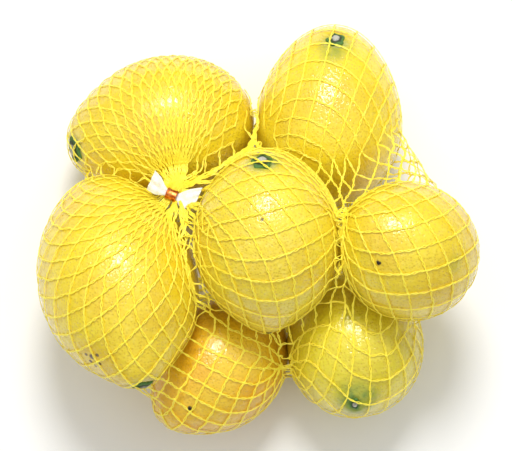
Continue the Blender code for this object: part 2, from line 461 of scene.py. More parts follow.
@dataclass
class HeapSkin:
    """The smooth skin that the stretched net lies in, sampled on a grid. All sizes are in mm."""

    stand_off: float = 0.9
    blend: float = 1.6
    step: float = 2.0
    low: Triple = (-104.0, -102.0, -8.0)
    high: Triple = (104.0, 104.0, 112.0)
    batch: int = 60000
    samples: Array = field(init=False)
    counts: Array = field(init=False)

    def __post_init__(self) -> None:
        """Samples the skin's distance and slope all over the grid."""
        lemon_fields = [LemonField(lemon, self.stand_off) for lemon in LEMONS]
        parts = [*lemon_fields, *GAP_SPANS, *HOLLOW_WEBS]
        low = np.array(self.low)
        self.counts = ((np.array(self.high) - low) / self.step).astype(int) + 1
        lines = [low[axis] + self.step * np.arange(self.counts[axis]) for axis in range(3)]
        grid = np.stack(np.meshgrid(*lines, indexing="ij"), -1).reshape(-1, 3)
        height = np.empty(len(grid))
        for start in range(0, len(grid), self.batch):
            stop = start + self.batch
            height[start:stop] = self.blended(parts, grid[start:stop])
        height = height.reshape(self.counts)
        slopes = np.gradient(height, self.step)
        self.samples = np.stack([height, *slopes], -1).reshape(-1, 4)

    def blended(self, parts: Sequence[LemonField | Span | Web], points: Array) -> Array:
        """The parts' distances, joined with a soft minimum.

        Args:
            parts: What the net lies on.
            points: Places in mm.

        Returns:
            One distance for each place.
        """
        distances = np.array([part.distance(points)[0] for part in parts])
        least = distances.min(0)
        return least - self.blend * np.log(np.exp(-(distances - least) / self.blend).sum(0))

    def at(self, points: Array) -> tuple[Array, Array]:
        """Reads the grid between its samples.

        Args:
            points: Places in mm.

        Returns:
            Distances to the skin and their slopes.
        """
        place = np.clip((points - np.array(self.low)) / self.step, 0, self.counts - 1.001)
        cell = place.astype(int)
        share = place - cell
        row = self.counts[2]
        sheet = self.counts[1] * self.counts[2]
        base = cell[:, 0] * sheet + cell[:, 1] * row + cell[:, 2]
        share_x, share_y, share_z = share[:, 0:1], share[:, 1:2], share[:, 2:3]

        def along_x(corner: Array) -> Array:
            """Mixes two samples that are neighbours along X."""
            return self.samples[corner] * (1 - share_x) + self.samples[corner + sheet] * share_x

        low = along_x(base) * (1 - share_y) + along_x(base + row) * share_y
        high = along_x(base + 1) * (1 - share_y) + along_x(base + row + 1) * share_y
        value = low * (1 - share_z) + high * share_z
        return value[:, 0], value[:, 1:]

    def onto(self, points: Array, passes: int = 1, limit: float = 3.0) -> Array:
        """Moves points onto the skin.

        Args:
            points: Places in mm.
            passes: How often the move is repeated.
            limit: The furthest that one move goes, in mm.

        Returns:
            The moved points.
        """
        for _ in range(passes):
            distance, slope = self.at(points)
            steep = np.maximum((slope * slope).sum(-1), 0.1)
            points = points - np.clip(distance / steep, -limit, limit)[:, None] * slope
        return points


# The net


@dataclass(frozen=True)
class Pinch:
    """A place where the net's strands are drawn together into a bundle between two lemons, in mm."""

    first: str
    second: str
    # how alike a knot's distances from both lemons are, and how small
    balance: float
    near_enough: float
    least_height: float
    least_y: float
    most_y: float
    first_target: Triple
    second_target: Triple
    spread: Triple
    seed: int
    pull: float = 0.12

    def force(self, knots: Array, stand_off: float) -> Move:
        """Picks the knots that the pinch holds.

        Args:
            knots: Where the knots are now.
            stand_off: The net's distance from the peel.

        Returns:
            A function that gives each knot its move towards the bundle.
        """
        from_first = LemonField(BY_NAME[self.first], stand_off).distance(knots)[0]
        from_second = LemonField(BY_NAME[self.second], stand_off).distance(knots)[0]
        held = np.abs(from_first - from_second) < self.balance
        held &= (from_first < self.near_enough) & (from_second < self.near_enough)
        height, away = knots[:, 2], knots[:, 1]
        held &= (height > self.least_height) & (away > self.least_y) & (away < self.most_y)
        chosen = np.nonzero(held)[0]
        nearer_first = (from_first[chosen] < from_second[chosen])[:, None]
        targets = np.where(nearer_first, np.array(self.first_target), np.array(self.second_target))
        jitter = np.random.default_rng(self.seed).normal(0, 1, (len(chosen), 3))
        targets = targets + jitter * np.array(self.spread)

        def move(places: Array) -> Array:
            """Moves the knots towards the bundle.

            Args:
                places: Where all knots are.

            Returns:
                Each knot's move.
            """
            moves = np.zeros_like(places)
            moves[chosen] = self.pull * (targets - places[chosen])
            return moves

        return move


PINCHES = (
    Pinch(
        "top_left",
        "top_right",
        balance=14,
        near_enough=17,
        least_height=38,
        least_y=14,
        most_y=44,
        first_target=(-2.0, 31.0, 42.0),
        second_target=(0.5, 31.0, 42.0),
        spread=(1.8, 2.2, 1.5),
        seed=7,
    ),
    Pinch(
        "middle",
        "right",
        balance=9,
        near_enough=13,
        least_height=52,
        least_y=-46,
        most_y=26,
        first_target=(33.3, -19.0, 70.0),
        second_target=(35.0, -1.0, 71.0),
        spread=(1.3, 1.3, 1.3),
        seed=5,
    ),
    Pinch(
        "right",
        "middle",
        balance=18,
        near_enough=18,
        least_height=40,
        least_y=-30,
        most_y=26,
        first_target=(35.0, -1.0, 71.0),
        second_target=(35.0, -1.0, 71.0),
        spread=(2.6, 2.6, 1.3),
        seed=9,
        pull=0.05,
    ),
    Pinch(
        "bottom_left",
        "bottom_right",
        balance=9,
        near_enough=14,
        least_height=18,
        least_y=-200,
        most_y=200,
        first_target=(11.5, -56.0, 34.0),
        second_target=(11.5, -56.0, 34.0),
        spread=(1.2, 1.2, 3.6),
        seed=6,
    ),
)


@dataclass(frozen=True)
class Groove:
    """A line along which the net's strands are drawn together sideways, in mm."""

    start: Triple
    end: Triple
    reach: float
    pull: float = 0.1
    # strands of which less than this share runs along the bundle are buried in it
    buried_below: float = 0.0

    def holds(self, knots: Array) -> Array:
        """Which knots lie within the groove's reach."""
        share, offset = along_line(knots, np.array(self.start), np.array(self.end), held=False)
        return (np.linalg.norm(offset, axis=1) < self.reach) & (share > 0) & (share < 1)

    def buries(self, starts: Array, ends: Array) -> Array:
        """Finds the strands that cross the bundle inside it, where they don't show.

        Args:
            starts: Where the strands start.
            ends: Where they end.

        Returns:
            For each strand whether it's buried.
        """
        run = np.array(self.end) - np.array(self.start)
        along = np.abs((ends - starts) @ run) / np.linalg.norm(run)
        length = np.maximum(np.linalg.norm(ends - starts, axis=1), 1e-6)
        return self.holds((starts + ends) / 2) & (along < self.buried_below * length)

    def force(self, knots: Array, _stand_off: float) -> Move:
        """Picks the knots that the groove draws in.

        Args:
            knots: Where the knots are now.
            _stand_off: Unused; a pinch needs it.

        Returns:
            A function that gives each knot its move towards the groove's line.
        """
        chosen = np.nonzero(self.holds(knots))[0]
        start, end = np.array(self.start), np.array(self.end)

        def move(places: Array) -> Array:
            """Moves the knots across the line.

            Args:
                places: Where all knots are.

            Returns:
                Each knot's move.
            """
            moves = np.zeros_like(places)
            moves[chosen] = -self.pull * along_line(places[chosen], start, end)[1]
            return moves

        return move


GROOVES = (
    Groove((-28.0, 16.0, 55.0), (-3.0, 30.0, 43.0), 7.5, 0.1, 0.4),
    Groove((-1.0, 33.0, 42.0), (-1.4, 66.0, 30.0), 12.0, 0.15, 0.85),
    Groove((-31.0, 5.0, 59.0), (-26.5, -26.0, 60.0), 7.0, 0.04, 0.0),
    Groove((14.0, 17.0, 80.0), (32.0, -10.0, 74.0), 8.0, 0.03),
)


@dataclass
class NetShape:
    """The net as knots in staggered rows, from the tie over the heap to its underside. Sizes are in mm."""

    skin: HeapSkin
    columns: int = 62
    rows: int = 38
    strand: float = 8.4
    ease: float = 0.82
    left_ease: float = 1.05
    right_ease: float = 0.75
    ease_reach: float = 60.0
    # where the net's columns crowd or thin out about the tie: direction, spread and extra share
    crowds: tuple[Triple, ...] = (
        (78, 32, 1.0),
        (32, 16, 0.15),
        (180, 30, -0.2),
        (270, 30, 0.3),
        (345, 25, 0.3),
        (8, 14, 1.3),
    )
    table_clearance: float = 0.8
    settle_steps: int = 600
    pinch_steps: int = 900
    # where the heap's outline is looked for: the heights, how far out, and in how many steps
    rim_heights: tuple[float, ...] = (14, 28, 40, 54, 66, 78)
    rim_start: float = 175.0
    rim_passes: int = 26
    # the way over the heap is this many times its reach, and a length more, and the way below adds another
    over_factor: float = 1.25
    over_extra: float = 15.0
    under_extra: float = 25.0
    # rows drop from above, or rise from below, until they land
    drop_from: float = 115.0
    rise_from: float = -12.0
    drop_passes: int = 40
    # the net lies open over the middle lemon's top: above this height and this close to its peel
    crown_height: float = 51.0
    crown_near: float = 1.6
    crown_fade: float = 6.0
    crown_strand: float = 7.4
    crown_row_gap: float = 8.6
    # beyond this distance from its centre, towards the upper right, it's combed close instead
    crown_side: tuple[float, float] = (0.8, 0.6)
    crown_side_reach: float = 12.0
    taut_strand: float = 6.4
    taut_rows: int = 12
    taut_share: float = 0.88
    # columns that start between these directions keep to them, as friction on the peel would have it
    held_from: float = 55.0
    held_to: float = 262.0
    held_rows: float = 16.0
    held_fade: float = 10.0
    held_row_fade: float = 5.0
    hold: float = 0.06
    # how close knots may come: along a strand, in a bundle, near the tie for each row, and elsewhere
    least_strand: float = 3.0
    least_gap: float = 0.35
    gap_per_row: float = 0.2
    most_gap: float = 2.2
    knots: Array = field(init=False)
    starts: Array = field(init=False)
    ends: Array = field(init=False)
    row_starts: Array = field(init=False)
    row_ends: Array = field(init=False)
    free: Array = field(init=False)
    rays: Array = field(init=False)
    holding: Array = field(init=False)

    def __post_init__(self) -> None:
        """Lays the net out, settles it and draws its bundles together."""
        turns = np.concatenate([self.turns(row) for row in range(self.rows + 1)])
        row = np.repeat(np.arange(self.rows + 1), self.columns)
        self.rays = np.stack([np.cos(turns), np.sin(turns)], -1)
        inside = np.minimum(np.degrees(turns) - self.held_from, self.held_to - np.degrees(turns))
        held_share = np.clip(inside / self.held_fade, 0, 1)
        self.holding = self.hold * held_share * np.clip((self.held_rows - row) / self.held_row_fade, 0, 1)
        self.join_knots()
        self.knots = self.first_layout()
        # the knots in both gathers stay where they are
        self.free = ((row > 0) & (row < self.rows))[:, None]
        share = 1.0
        self.settle(int(self.settle_steps * share), [])
        forces = [drawn.force(self.knots, self.skin.stand_off) for drawn in (*PINCHES, *GROOVES)]
        self.settle(int(self.pinch_steps * share), forces)

    def turns(self, row: int) -> Array:
        """Spreads the columns about the tie.

        Args:
            row: The row's number, as every other one stands half a column further on.

        Returns:
            The direction in which each column starts, in radians.
        """
        degrees = np.linspace(0, 360, 721)
        crowding = np.ones(len(degrees))
        for middle, spread, extra in self.crowds:
            off = (degrees - middle + 180) % 360 - 180
            crowding += extra * np.exp(-((off / spread) ** 2))
        filled = np.concatenate([[0.0], np.cumsum((crowding[1:] + crowding[:-1]) / 2)])
        even = (np.arange(self.columns) + 0.5 * (row % 2)) / self.columns
        return np.radians(np.interp(even, filled / filled[-1], degrees))

    def join_knots(self) -> None:
        """Lists the strands, each from one row to the next, and the neighbours in each row."""
        column = np.arange(self.columns)
        starts, ends, row_starts, row_ends = [], [], [], []
        for row in range(self.rows):
            here = row * self.columns + column
            beside = (column - 1) % self.columns if row % 2 == 0 else (column + 1) % self.columns
            starts += [here, here]
            ends += [(row + 1) * self.columns + column, (row + 1) * self.columns + beside]
            if row:
                row_starts.append(here)
                row_ends.append(row * self.columns + (column + 1) % self.columns)
        self.starts = np.concatenate(starts)
        self.ends = np.concatenate(ends)
        self.row_starts = np.concatenate(row_starts)
        self.row_ends = np.concatenate(row_ends)

    def rim(self, turns: Array) -> Array:
        """How far the heap reaches from the tie.

        Args:
            turns: Directions about the tie.

        Returns:
            For each direction the greatest reach.
        """
        centre = np.array(TOP_GATHER[:2])
        rays = np.stack([np.cos(turns), np.sin(turns)], -1)
        widest = np.zeros(len(turns))
        for height in self.rim_heights:
            reach = np.full(len(turns), self.rim_start)
            for _ in range(self.rim_passes):
                flat = centre + rays * reach[:, None]
                distance, _slope = self.skin.at(np.column_stack([flat, np.full(len(turns), height)]))
                reach = np.maximum(reach - np.clip(distance * 0.9, 0, 40) * (distance > 0.3), 5)
            widest = np.maximum(widest, reach)
        return widest

    def ring(self, centre: Triple, radius: float, row: int) -> Array:
        """A row of knots drawn together on a small circle."""
        turns = self.turns(row)
        return np.array(centre) + radius * np.stack([np.cos(turns), np.sin(turns), 0 * turns], -1)

    def first_layout(self) -> Array:
        """Drops every row onto the heap, out from the tie and then back in under it.

        Returns:
            The knots' places before they settle.
        """
        samples = 2 * self.columns
        top_gather, low_gather = np.array(TOP_GATHER[:2]), np.array(LOW_GATHER[:2])
        reaches = self.rim(np.linspace(0, 2 * math.pi, samples, endpoint=False))
        rows = []
        for row in range(self.rows + 1):
            turns = self.turns(row)
            sample = np.round(turns / (math.pi / self.columns)).astype(int) % samples
            reach = reaches[sample]
            ray = np.stack([np.cos(turns), np.sin(turns)], -1)
            edge = top_gather + reach[:, None] * ray
            over = reach * self.over_factor + self.over_extra
            under = np.linalg.norm(edge - low_gather, axis=1) + self.under_extra
            taut = self.taut_share * self.taut_strand * min(row, self.taut_rows)
            rest = over + under - self.taut_share * self.taut_strand * self.taut_rows
            travelled = taut + rest * max(row - self.taut_rows, 0) / (self.rows - self.taut_rows)
            on_top = travelled < over
            share_over = np.clip(travelled / over, 0, 1)[:, None]
            share_under = np.clip((travelled - over) / under, 0, 1)[:, None]
            outward = top_gather + (edge - top_gather) * share_over
            inward = edge + (low_gather - edge) * share_under
            flat = np.where(on_top[:, None], outward, inward)
            height = np.where(on_top, self.drop_from, self.rise_from)
            landed = np.zeros(self.columns, bool)
            for _ in range(self.drop_passes):
                distance, _slope = self.skin.at(np.column_stack([flat, height]))
                landed |= distance < 0.5
                fall = np.where(on_top, -1, 1) * np.clip(distance * 0.85, 0.3, 30)
                height = np.where(landed, height, height + fall)
            rows.append(np.column_stack([flat, height]))
        rows[0] = self.ring(TOP_GATHER, TOP_GATHER_RADIUS, 0)
        rows[-1] = self.ring(LOW_GATHER, LOW_GATHER_RADIUS, self.rows)
        knots = np.concatenate(rows)
        inner = slice(self.columns, -self.columns)
        knots[inner] = self.skin.onto(knots[inner], 6)
        return knots

    def settle(
        self,
        steps: int,
        forces: Sequence[Move],
        soft: float = 0.6,
        hard: float = 1.08,
        momentum: float = 0.85,
        longest_step: float = 1.2,
    ) -> None:
        """Lets the strands pull the knots about on the skin until they rest.

        Args:
            steps: How many small moves are made.
            forces: Extra moves, such as the pinches'.
            soft: How firmly a strand pulls past its eased length.
            hard: The stretch that a strand resists firmly.
            momentum: How much of each move carries on.
            longest_step: The furthest that a knot goes in one move.
        """
        count = len(self.knots)
        crown_field = LemonField(BY_NAME["middle"], self.skin.stand_off)
        joined = np.bincount(self.starts, minlength=count) + np.bincount(self.ends, minlength=count)
        weight = (np.maximum(joined, 1) * 0.5)[:, None]
        moving = np.zeros_like(self.knots)
        ease_ends, ease_shares = [-self.ease_reach, self.ease_reach], [self.left_ease, self.right_ease]
        bundled = np.zeros(count, bool)
        for groove in GROOVES:
            bundled |= groove.holds(self.knots)
        neighbour_row = self.row_starts // self.columns
        from_gather = np.minimum(neighbour_row, self.rows - neighbour_row)
        fan_gap = np.minimum(self.most_gap, self.gap_per_row * from_gather)
        # the first rows under the tie are pulled straight, so their meshes are long and narrow
        row = np.arange(len(self.starts)) // (2 * self.columns)
        taut = np.clip(1 - row / self.taut_rows, 0, 1)
        least_by_row = self.least_strand + (self.taut_strand - self.least_strand) * taut

        def gathered(chosen: Array, moves: Array) -> Array:
            """The sum of the moves that each knot gets."""
            return np.stack([np.bincount(chosen, moves[:, axis], minlength=count) for axis in range(3)], -1)

        for _ in range(steps):
            # the net's spare width goes from the middle lemon's top into the creases round it
            on_crown = crown_field.distance(self.knots)[0] < self.crown_near
            crown = np.clip((self.knots[:, 2] - self.crown_height) / self.crown_fade, 0, 1) * on_crown
            sideways = (self.knots[:, :2] - crown_field.centre[:2]) @ np.array(self.crown_side)
            crown *= np.clip((self.crown_side_reach + self.crown_fade - sideways) / self.crown_fade, 0, 1)
            strand_crown = np.minimum(crown[self.starts], crown[self.ends])
            row_crown = np.minimum(crown[self.row_starts], crown[self.row_ends])
            row_gap = np.where(bundled[self.row_starts] & bundled[self.row_ends], self.least_gap, fan_gap)
            least_strand = least_by_row + (self.crown_strand - least_by_row) * strand_crown
            wanted_gap = row_gap + (self.crown_row_gap - row_gap) * row_crown
            run = self.knots[self.ends] - self.knots[self.starts]
            length = np.linalg.norm(run, axis=1)
            middle = 0.5 * (self.knots[self.starts, 0] + self.knots[self.ends, 0])
            eased = self.strand * self.ease * np.interp(middle, ease_ends, ease_shares)
            pull = np.where(length > eased, (length - eased) * soft, 0)
            limit = self.strand * hard
            pull += np.where(length > limit, (length - limit) * (1 - soft) * 1.5, 0)
            pull += np.where(length < least_strand, (length - least_strand) * 0.5, 0)
            half = 0.5 * pull[:, None] * unit(run)
            moves = (gathered(self.starts, half) - gathered(self.ends, half)) / weight
            run = self.knots[self.row_ends] - self.knots[self.row_starts]
            length = np.linalg.norm(run, axis=1)
            push = np.where(length < wanted_gap, (length - wanted_gap) * 0.5, 0)
            half = 0.5 * push[:, None] * unit(run)
            moves += gathered(self.row_starts, half) - gathered(self.row_ends, half)
            for force in forces:
                moves += force(self.knots)
            offset = self.knots[:, :2] - np.array(TOP_GATHER[:2])
            aside = offset - (offset * self.rays).sum(1)[:, None] * self.rays
            moves[:, :2] -= self.holding[:, None] * aside
            step = momentum * moving + 0.9 * moves * self.free
            size = np.linalg.norm(step, axis=1)
            step *= np.minimum(1, longest_step / np.maximum(size, 1e-9))[:, None]
            placed = self.knots + step
            distance, slope = self.skin.at(placed)
            steep = np.maximum((slope * slope).sum(-1), 0.1)
            placed = placed - np.clip(distance / steep, -3, 3)[:, None] * slope
            placed = np.where(self.free, placed, self.knots)
            placed[:, 2] = np.maximum(placed[:, 2], self.table_clearance)
            moving = placed - self.knots
            self.knots = placed


@dataclass
class Yarn:
    """The net's yarn, drawn over the settled knots: two thin filaments to a strand. Sizes are in mm."""

    shape: NetShape
    finish: Material
    filament_radius: float = 0.24
    filament_flatness: float = 0.4
    spread: float = 0.42
    lift: float = 0.14
    twist_length: float = 6.5
    filament_sides: int = 6
    points_per_strand: int = 7
    clearance: float = 0.26
    # points that hover up to this high over a lemon are laid on it, and less so up to the fade beyond
    reach_down: float = 1.8
    reach_fade: float = 1.2
    waver: float = 0.16
    # strands shorter than this share of their knitted length bow sideways, less so in a bundle
    slack_from: float = 0.95
    slack_bow: float = 0.45
    most_bow: float = 1.4
    bundled_bow: float = 0.3
    bow_waver: float = 0.1
    # the top gather's lines bend in at this height, and enter the ring this far from its middle
    top_waist_height: float = 61.0
    mouth_offset: float = 2.6
    mouth_drop: float = 0.9
    waist_spread: float = 0.5
    mouth_spread: float = 0.35
    # the low gather's lines bend in at the knot and end inside the heap
    low_waist_rise: float = 0.5
    low_top_rise: float = 5.0
    # how close the filaments lie at the knots
    closed_share: float = 0.4
    # half a knot's length, width and height, and how much single knots differ from it
    knot_size: Triple = (0.85, 0.5, 0.3)
    knot_share: tuple[Triple, Triple] = ((0.8, 0.85, 0.85), (1.25, 1.15, 1.1))
    knot_segments: int = 6
    knot_rings: int = 4
    seed: int = 11

    def build(self) -> None:
        """Makes the strands in four bands of rows, the knots, and the bundles at both gathers."""
        per_row = 2 * self.shape.columns
        bands = (
            ("net_strands_crown", 0, 10),
            ("net_strands_shoulder", 10, 19),
            ("net_strands_side", 19, 28),
            ("net_strands_under", 28, 38),
        )
        lines = self.strand_lines()
        shown = np.ones(len(lines), bool)
        for groove in GROOVES:
            shown &= ~groove.buries(lines[:, 0], lines[:, -1])
        tree = self.strand_tree()
        for name, first, last in bands:
            band = slice(first * per_row, last * per_row)
            self.draw_lines(name, lines[band][shown[band]], tree)
        self.draw_lines("net_gather_top", self.top_bundle(), tree)
        self.draw_lines("net_gather_under", self.low_bundle(), tree)
        self.draw_knots()

    def strand_lines(self) -> Array:
        """Each strand's middle line, laid on the peel, with slack strands bowed sideways.

        Returns:
            An array of strands by points by three, in mm.
        """
        shape = self.shape
        start = shape.knots[shape.starts]
        end = shape.knots[shape.ends]
        share = np.linspace(0, 1, self.points_per_strand)[None, :, None]
        lines = start[:, None] * (1 - share) + end[:, None] * share
        length = np.linalg.norm(end - start, axis=1)
        _distance, outward = shape.skin.at((start + end) / 2)
        sideways = np.cross(unit(outward), unit(end - start))
        rng = np.random.default_rng(self.seed)
        slack = np.maximum(shape.strand * self.slack_from - length, 0)
        # a shallow arch of this height is as much longer than its chord as the strand is slack
        height = np.sqrt(3 / 8 * length * slack)
        bow = np.minimum(self.slack_bow * height, self.most_bow)
        bow = bow * rng.uniform(-1, 1, len(bow)) + rng.normal(0, self.bow_waver, len(bow))
        in_bundle = np.zeros(len(bow), bool)
        for groove in GROOVES:
            in_bundle |= groove.holds((start + end) / 2)
        bow = np.where(in_bundle, self.bundled_bow * bow, bow)
        arch = 4 * share * (1 - share)
        lines = lines + arch * (bow[:, None] * sideways)[:, None]
        waver = np.sin(2 * math.pi * share) * rng.normal(0, self.waver, len(bow))[:, None, None]
        lines = lines + waver * sideways[:, None]
        return self.off_the_peel(lines.reshape(-1, 3)).reshape(lines.shape)

    def off_the_peel(self, points: Array) -> Array:
        """Rests points that hover over a lemon on its peel, and lifts those in it or in the table.

        Args:
            points: Places in mm.

        Returns:
            The places, no closer than the clearance.
        """
        fields = [LemonField(lemon, 0.0) for lemon in LEMONS]
        distances = np.array([lemon_field.distance(points)[0] for lemon_field in fields])
        nearest = distances.argmin(0)
        for number, lemon_field in enumerate(fields):
            distance, outward = lemon_field.distance(points)
            over = distance - self.clearance
            fades = np.clip((self.reach_down + self.reach_fade - distance) / self.reach_fade, 0, 1)
            drop = np.where((nearest == number) & (over > 0), over * fades, 0)
            points = points - drop[:, None] * outward
        for _ in range(3):
            for lemon_field in fields:
                distance, outward = lemon_field.distance(points)
                lift = np.maximum(self.clearance - distance, 0)
                points = points + np.minimum(lift, 4.0)[:, None] * outward
        points[:, 2] = np.maximum(points[:, 2], self.shape.table_clearance)
        return points

    def top_bundle(self) -> Array:
        """The strands' ends from the top gather up into the crimped ring.

        Returns:
            An array of lines by points by three, in mm.
        """
        rng = np.random.default_rng(self.seed + 1)
        centre = np.array(TIE_CENTRE)
        along = direction(TIE_HEADING, 0)
        knots = self.shape.knots[: self.shape.columns : 2]
        share = np.linspace(0, 1, self.points_per_strand)[:, None]
        lines = []
        for number, knot in enumerate(knots):
            side = 1 if number % 2 else -1
            waist = np.array([*TOP_GATHER[:2], self.top_waist_height]) + rng.normal(0, self.waist_spread, 3)
            entry = centre + side * self.mouth_offset * along - np.array([0, 0, self.mouth_drop])
            lines.append(bent(knot, waist, entry + rng.normal(0, self.mouth_spread, 3), share))
        return np.array(lines)

    def low_bundle(self) -> Array:
        """The strands' ends at the low gather, folded up between the lemons.

        Returns:
            An array of lines by points by three, in mm.
        """
        knots = self.shape.knots[-self.shape.columns :: 3]
        top = np.array(LOW_GATHER) + np.array([0, 0, self.low_top_rise])
        waist = np.array(LOW_GATHER) + np.array([0, 0, self.low_waist_rise])
        share = np.linspace(0, 1, self.points_per_strand)[:, None]
        return np.array([bent(knot, waist, top, share) for knot in knots])

    def draw_lines(self, name: str, lines: Array, tree: Tree) -> None:
        """Turns middle lines into yarn and hands the piece over.

        Args:
            name: The piece's name.
            lines: Strands by points by three, in mm.
            tree: The tree that makes the filaments.
        """
        count, points = lines.shape[:2]
        first = np.arange(count * points).reshape(count, points)
        edges = np.stack([first[:, :-1].ravel(), first[:, 1:].ravel()], -1)
        mesh = bpy.data.meshes.new(name)
        mesh.from_pydata(in_frame(lines.reshape(-1, 3)).tolist(), edges.tolist(), [])
        number = mesh.attributes.new("strand", "INT", "POINT")
        number.data.foreach_set("value", np.repeat(np.arange(count), points).astype(np.int32))
        _distance, outward = self.shape.skin.at(lines.reshape(-1, 3))
        facing = mesh.attributes.new("outward", "FLOAT_VECTOR", "POINT")
        facing.data.foreach_set("vector", unit(outward).astype(np.float32).ravel())
        values = {
            "Filament radius": self.filament_radius * MM,
            "Flatness": self.filament_flatness,
            "Filament sides": self.filament_sides,
            "Spread": self.spread * MM,
            "Lift": self.lift * MM,
            "Twist length": self.twist_length * MM,
            "Seed": self.seed,
            "Finish": self.finish,
        }
        piece = run_tree(name, mesh, tree, values)
        hand_over(piece, BAG_NODE)

    def draw_knots(self) -> None:
        """Puts a small knitted knot where strands meet, and hands the piece over."""
        shape = self.shape
        columns = shape.columns
        knots = shape.knots[columns:-columns]
        along = shape.knots[2 * columns :] - shape.knots[: -2 * columns]
        shown = np.ones(len(knots), bool)
        for groove in GROOVES:
            if groove.buried_below:
                shown &= ~groove.holds(knots)
        knots, along = knots[shown], unit(along[shown])
        outward = unit(shape.skin.at(knots)[1])
        mesh = bpy.data.meshes.new("net_knots")
        mesh.from_pydata(in_frame(self.off_the_peel(knots)).tolist(), [], [])
        for name, directions in (("along", along), ("outward", outward)):
            attribute = mesh.attributes.new(name, "FLOAT_VECTOR", "POINT")
            attribute.data.foreach_set("vector", directions.astype(np.float32).ravel())
        long, wide, high = self.knot_size
        values = {
            "Half length": long * MM,
            "Half width": wide * MM,
            "Half height": high * MM,
            "Segments": self.knot_segments,
            "Rings": self.knot_rings,
            "Seed": self.seed,
            "Finish": self.finish,
        }
        piece = run_tree("net_knots", mesh, self.knot_tree(), values)
        hand_over(piece, BAG_NODE)

    def strand_tree(self) -> Tree:
        """The tree that turns each line into two filaments, twisted, and closest where strands meet.

        Returns:
            The geometry node tree.
        """
        lengths = ("Filament radius", "Flatness", "Spread", "Lift", "Twist length")
        tree = new_tree("twisted_yarn", lengths, ("Filament sides", "Seed"))
        given = add_node(tree, "NodeGroupInput").outputs
        lines = add_node(tree, "GeometryNodeMeshToCurve", {"Mesh": given["Geometry"]}).outputs[0]
        outward = attribute_of(tree, "outward", "FLOAT_VECTOR")
        facing = {"Curve": lines, "Normal": outward}
        curves = add_node(tree, "GeometryNodeSetCurveNormal", facing, mode="FREE").outputs[0]
        along = add_node(tree, "GeometryNodeSplineParameter").outputs
        tangent = add_node(tree, "GeometryNodeInputTangent").outputs[0]
        sideways = vector_maths(tree, "CROSS_PRODUCT", {0: tangent, 1: outward})
        chance = {"Max": 2 * math.pi, "ID": attribute_of(tree, "strand", "INT"), "Seed": given["Seed"]}
        start = add_node(tree, "FunctionNodeRandomValue", chance, data_type="FLOAT").outputs["Value"]
        turns = maths(tree, "DIVIDE", along["Length"], given["Twist length"])
        turned = maths(tree, "MULTIPLY_ADD", turns, 2 * math.pi, start)
        # how far the filaments stand apart, from the knots to the middle of the strand
        open_share = maths(tree, "SINE", maths(tree, "MULTIPLY", along["Factor"], math.pi))
        apart = maths(tree, "MULTIPLY_ADD", open_share, 1 - self.closed_share, self.closed_share)
        sways = []
        for wave, reach in (("COSINE", "Spread"), ("SINE", "Lift")):
            sway = maths(tree, "MULTIPLY", maths(tree, wave, turned), given[reach])
            sways.append(maths(tree, "MULTIPLY", sway, apart))
        disc = {"Resolution": given["Filament sides"], "Radius": given["Filament radius"]}
        circle = add_node(tree, "GeometryNodeCurvePrimitiveCircle", disc).outputs[0]
        scales = {"X": given["Flatness"], "Y": 1.0, "Z": 1.0}
        squash = add_node(tree, "ShaderNodeCombineXYZ", scales).outputs[0]
        section = add_node(tree, "GeometryNodeTransform", {"Geometry": circle, "Scale": squash}).outputs[0]
        filaments = add_node(tree, "GeometryNodeJoinGeometry")
        for side in (1.0, -1.0):
            beside, above = (maths(tree, "MULTIPLY", sway, side) for sway in sways)
            across = vector_maths(tree, "SCALE", {0: sideways, "Scale": beside})
            upwards = vector_maths(tree, "SCALE", {0: outward, "Scale": above})
            offset = vector_maths(tree, "ADD", {0: across, 1: upwards})
            shifted = {"Geometry": curves, "Offset": offset}
            moved = add_node(tree, "GeometryNodeSetPosition", shifted).outputs[0]
            profile = {"Curve": moved, "Profile Curve": section, "Fill Caps": True}
            tube = add_node(tree, "GeometryNodeCurveToMesh", profile).outputs[0]
            tree.links.new(tube, filaments.inputs[0])
        finish_tree(tree, filaments.outputs[0], given["Finish"])
        return tree

    def knot_tree(self) -> Tree:
        """The tree that sets a small barrel on each knot, along the yarn and flat to the peel.

        Returns:
            The geometry node tree.
        """
        lengths = ("Half length", "Half width", "Half height")
        tree = new_tree("yarn_knots", lengths, ("Segments", "Rings", "Seed"))
        given = add_node(tree, "NodeGroupInput").outputs
        round_ball = {"Segments": given["Segments"], "Rings": given["Rings"], "Radius": 1.0}
        ball = add_node(tree, "GeometryNodeMeshUVSphere", round_ball).outputs[0]
        quarter_turn = {"Geometry": ball, "Rotation": (0, math.pi / 2, 0)}
        lying = add_node(tree, "GeometryNodeTransform", quarter_turn).outputs[0]
        halves = {axis: given[length] for axis, length in zip("XYZ", lengths)}
        size = add_node(tree, "ShaderNodeCombineXYZ", halves).outputs[0]
        barrel = add_node(tree, "GeometryNodeTransform", {"Geometry": lying, "Scale": size}).outputs[0]
        align = "FunctionNodeAlignRotationToVector"
        along = attribute_of(tree, "along", "FLOAT_VECTOR")
        pointed = add_node(tree, align, {"Vector": along}, axis="X").outputs[0]
        facing = {"Rotation": pointed, "Vector": attribute_of(tree, "outward", "FLOAT_VECTOR")}
        laid = add_node(tree, align, facing, axis="Z", pivot_axis="X").outputs[0]
        number = add_node(tree, "GeometryNodeInputIndex").outputs[0]
        least, most = self.knot_share
        chance = {"Min": least, "Max": most, "ID": number, "Seed": given["Seed"]}
        share = add_node(tree, "FunctionNodeRandomValue", chance, data_type="FLOAT_VECTOR").outputs["Value"]
        points = add_node(tree, "GeometryNodeMeshToPoints", {"Mesh": given["Geometry"]}).outputs[0]
        barrels = {"Points": points, "Instance": barrel, "Rotation": laid, "Scale": share}
        placed = add_node(tree, "GeometryNodeInstanceOnPoints", barrels).outputs[0]
        finish_tree(tree, placed, given["Finish"])
        return tree


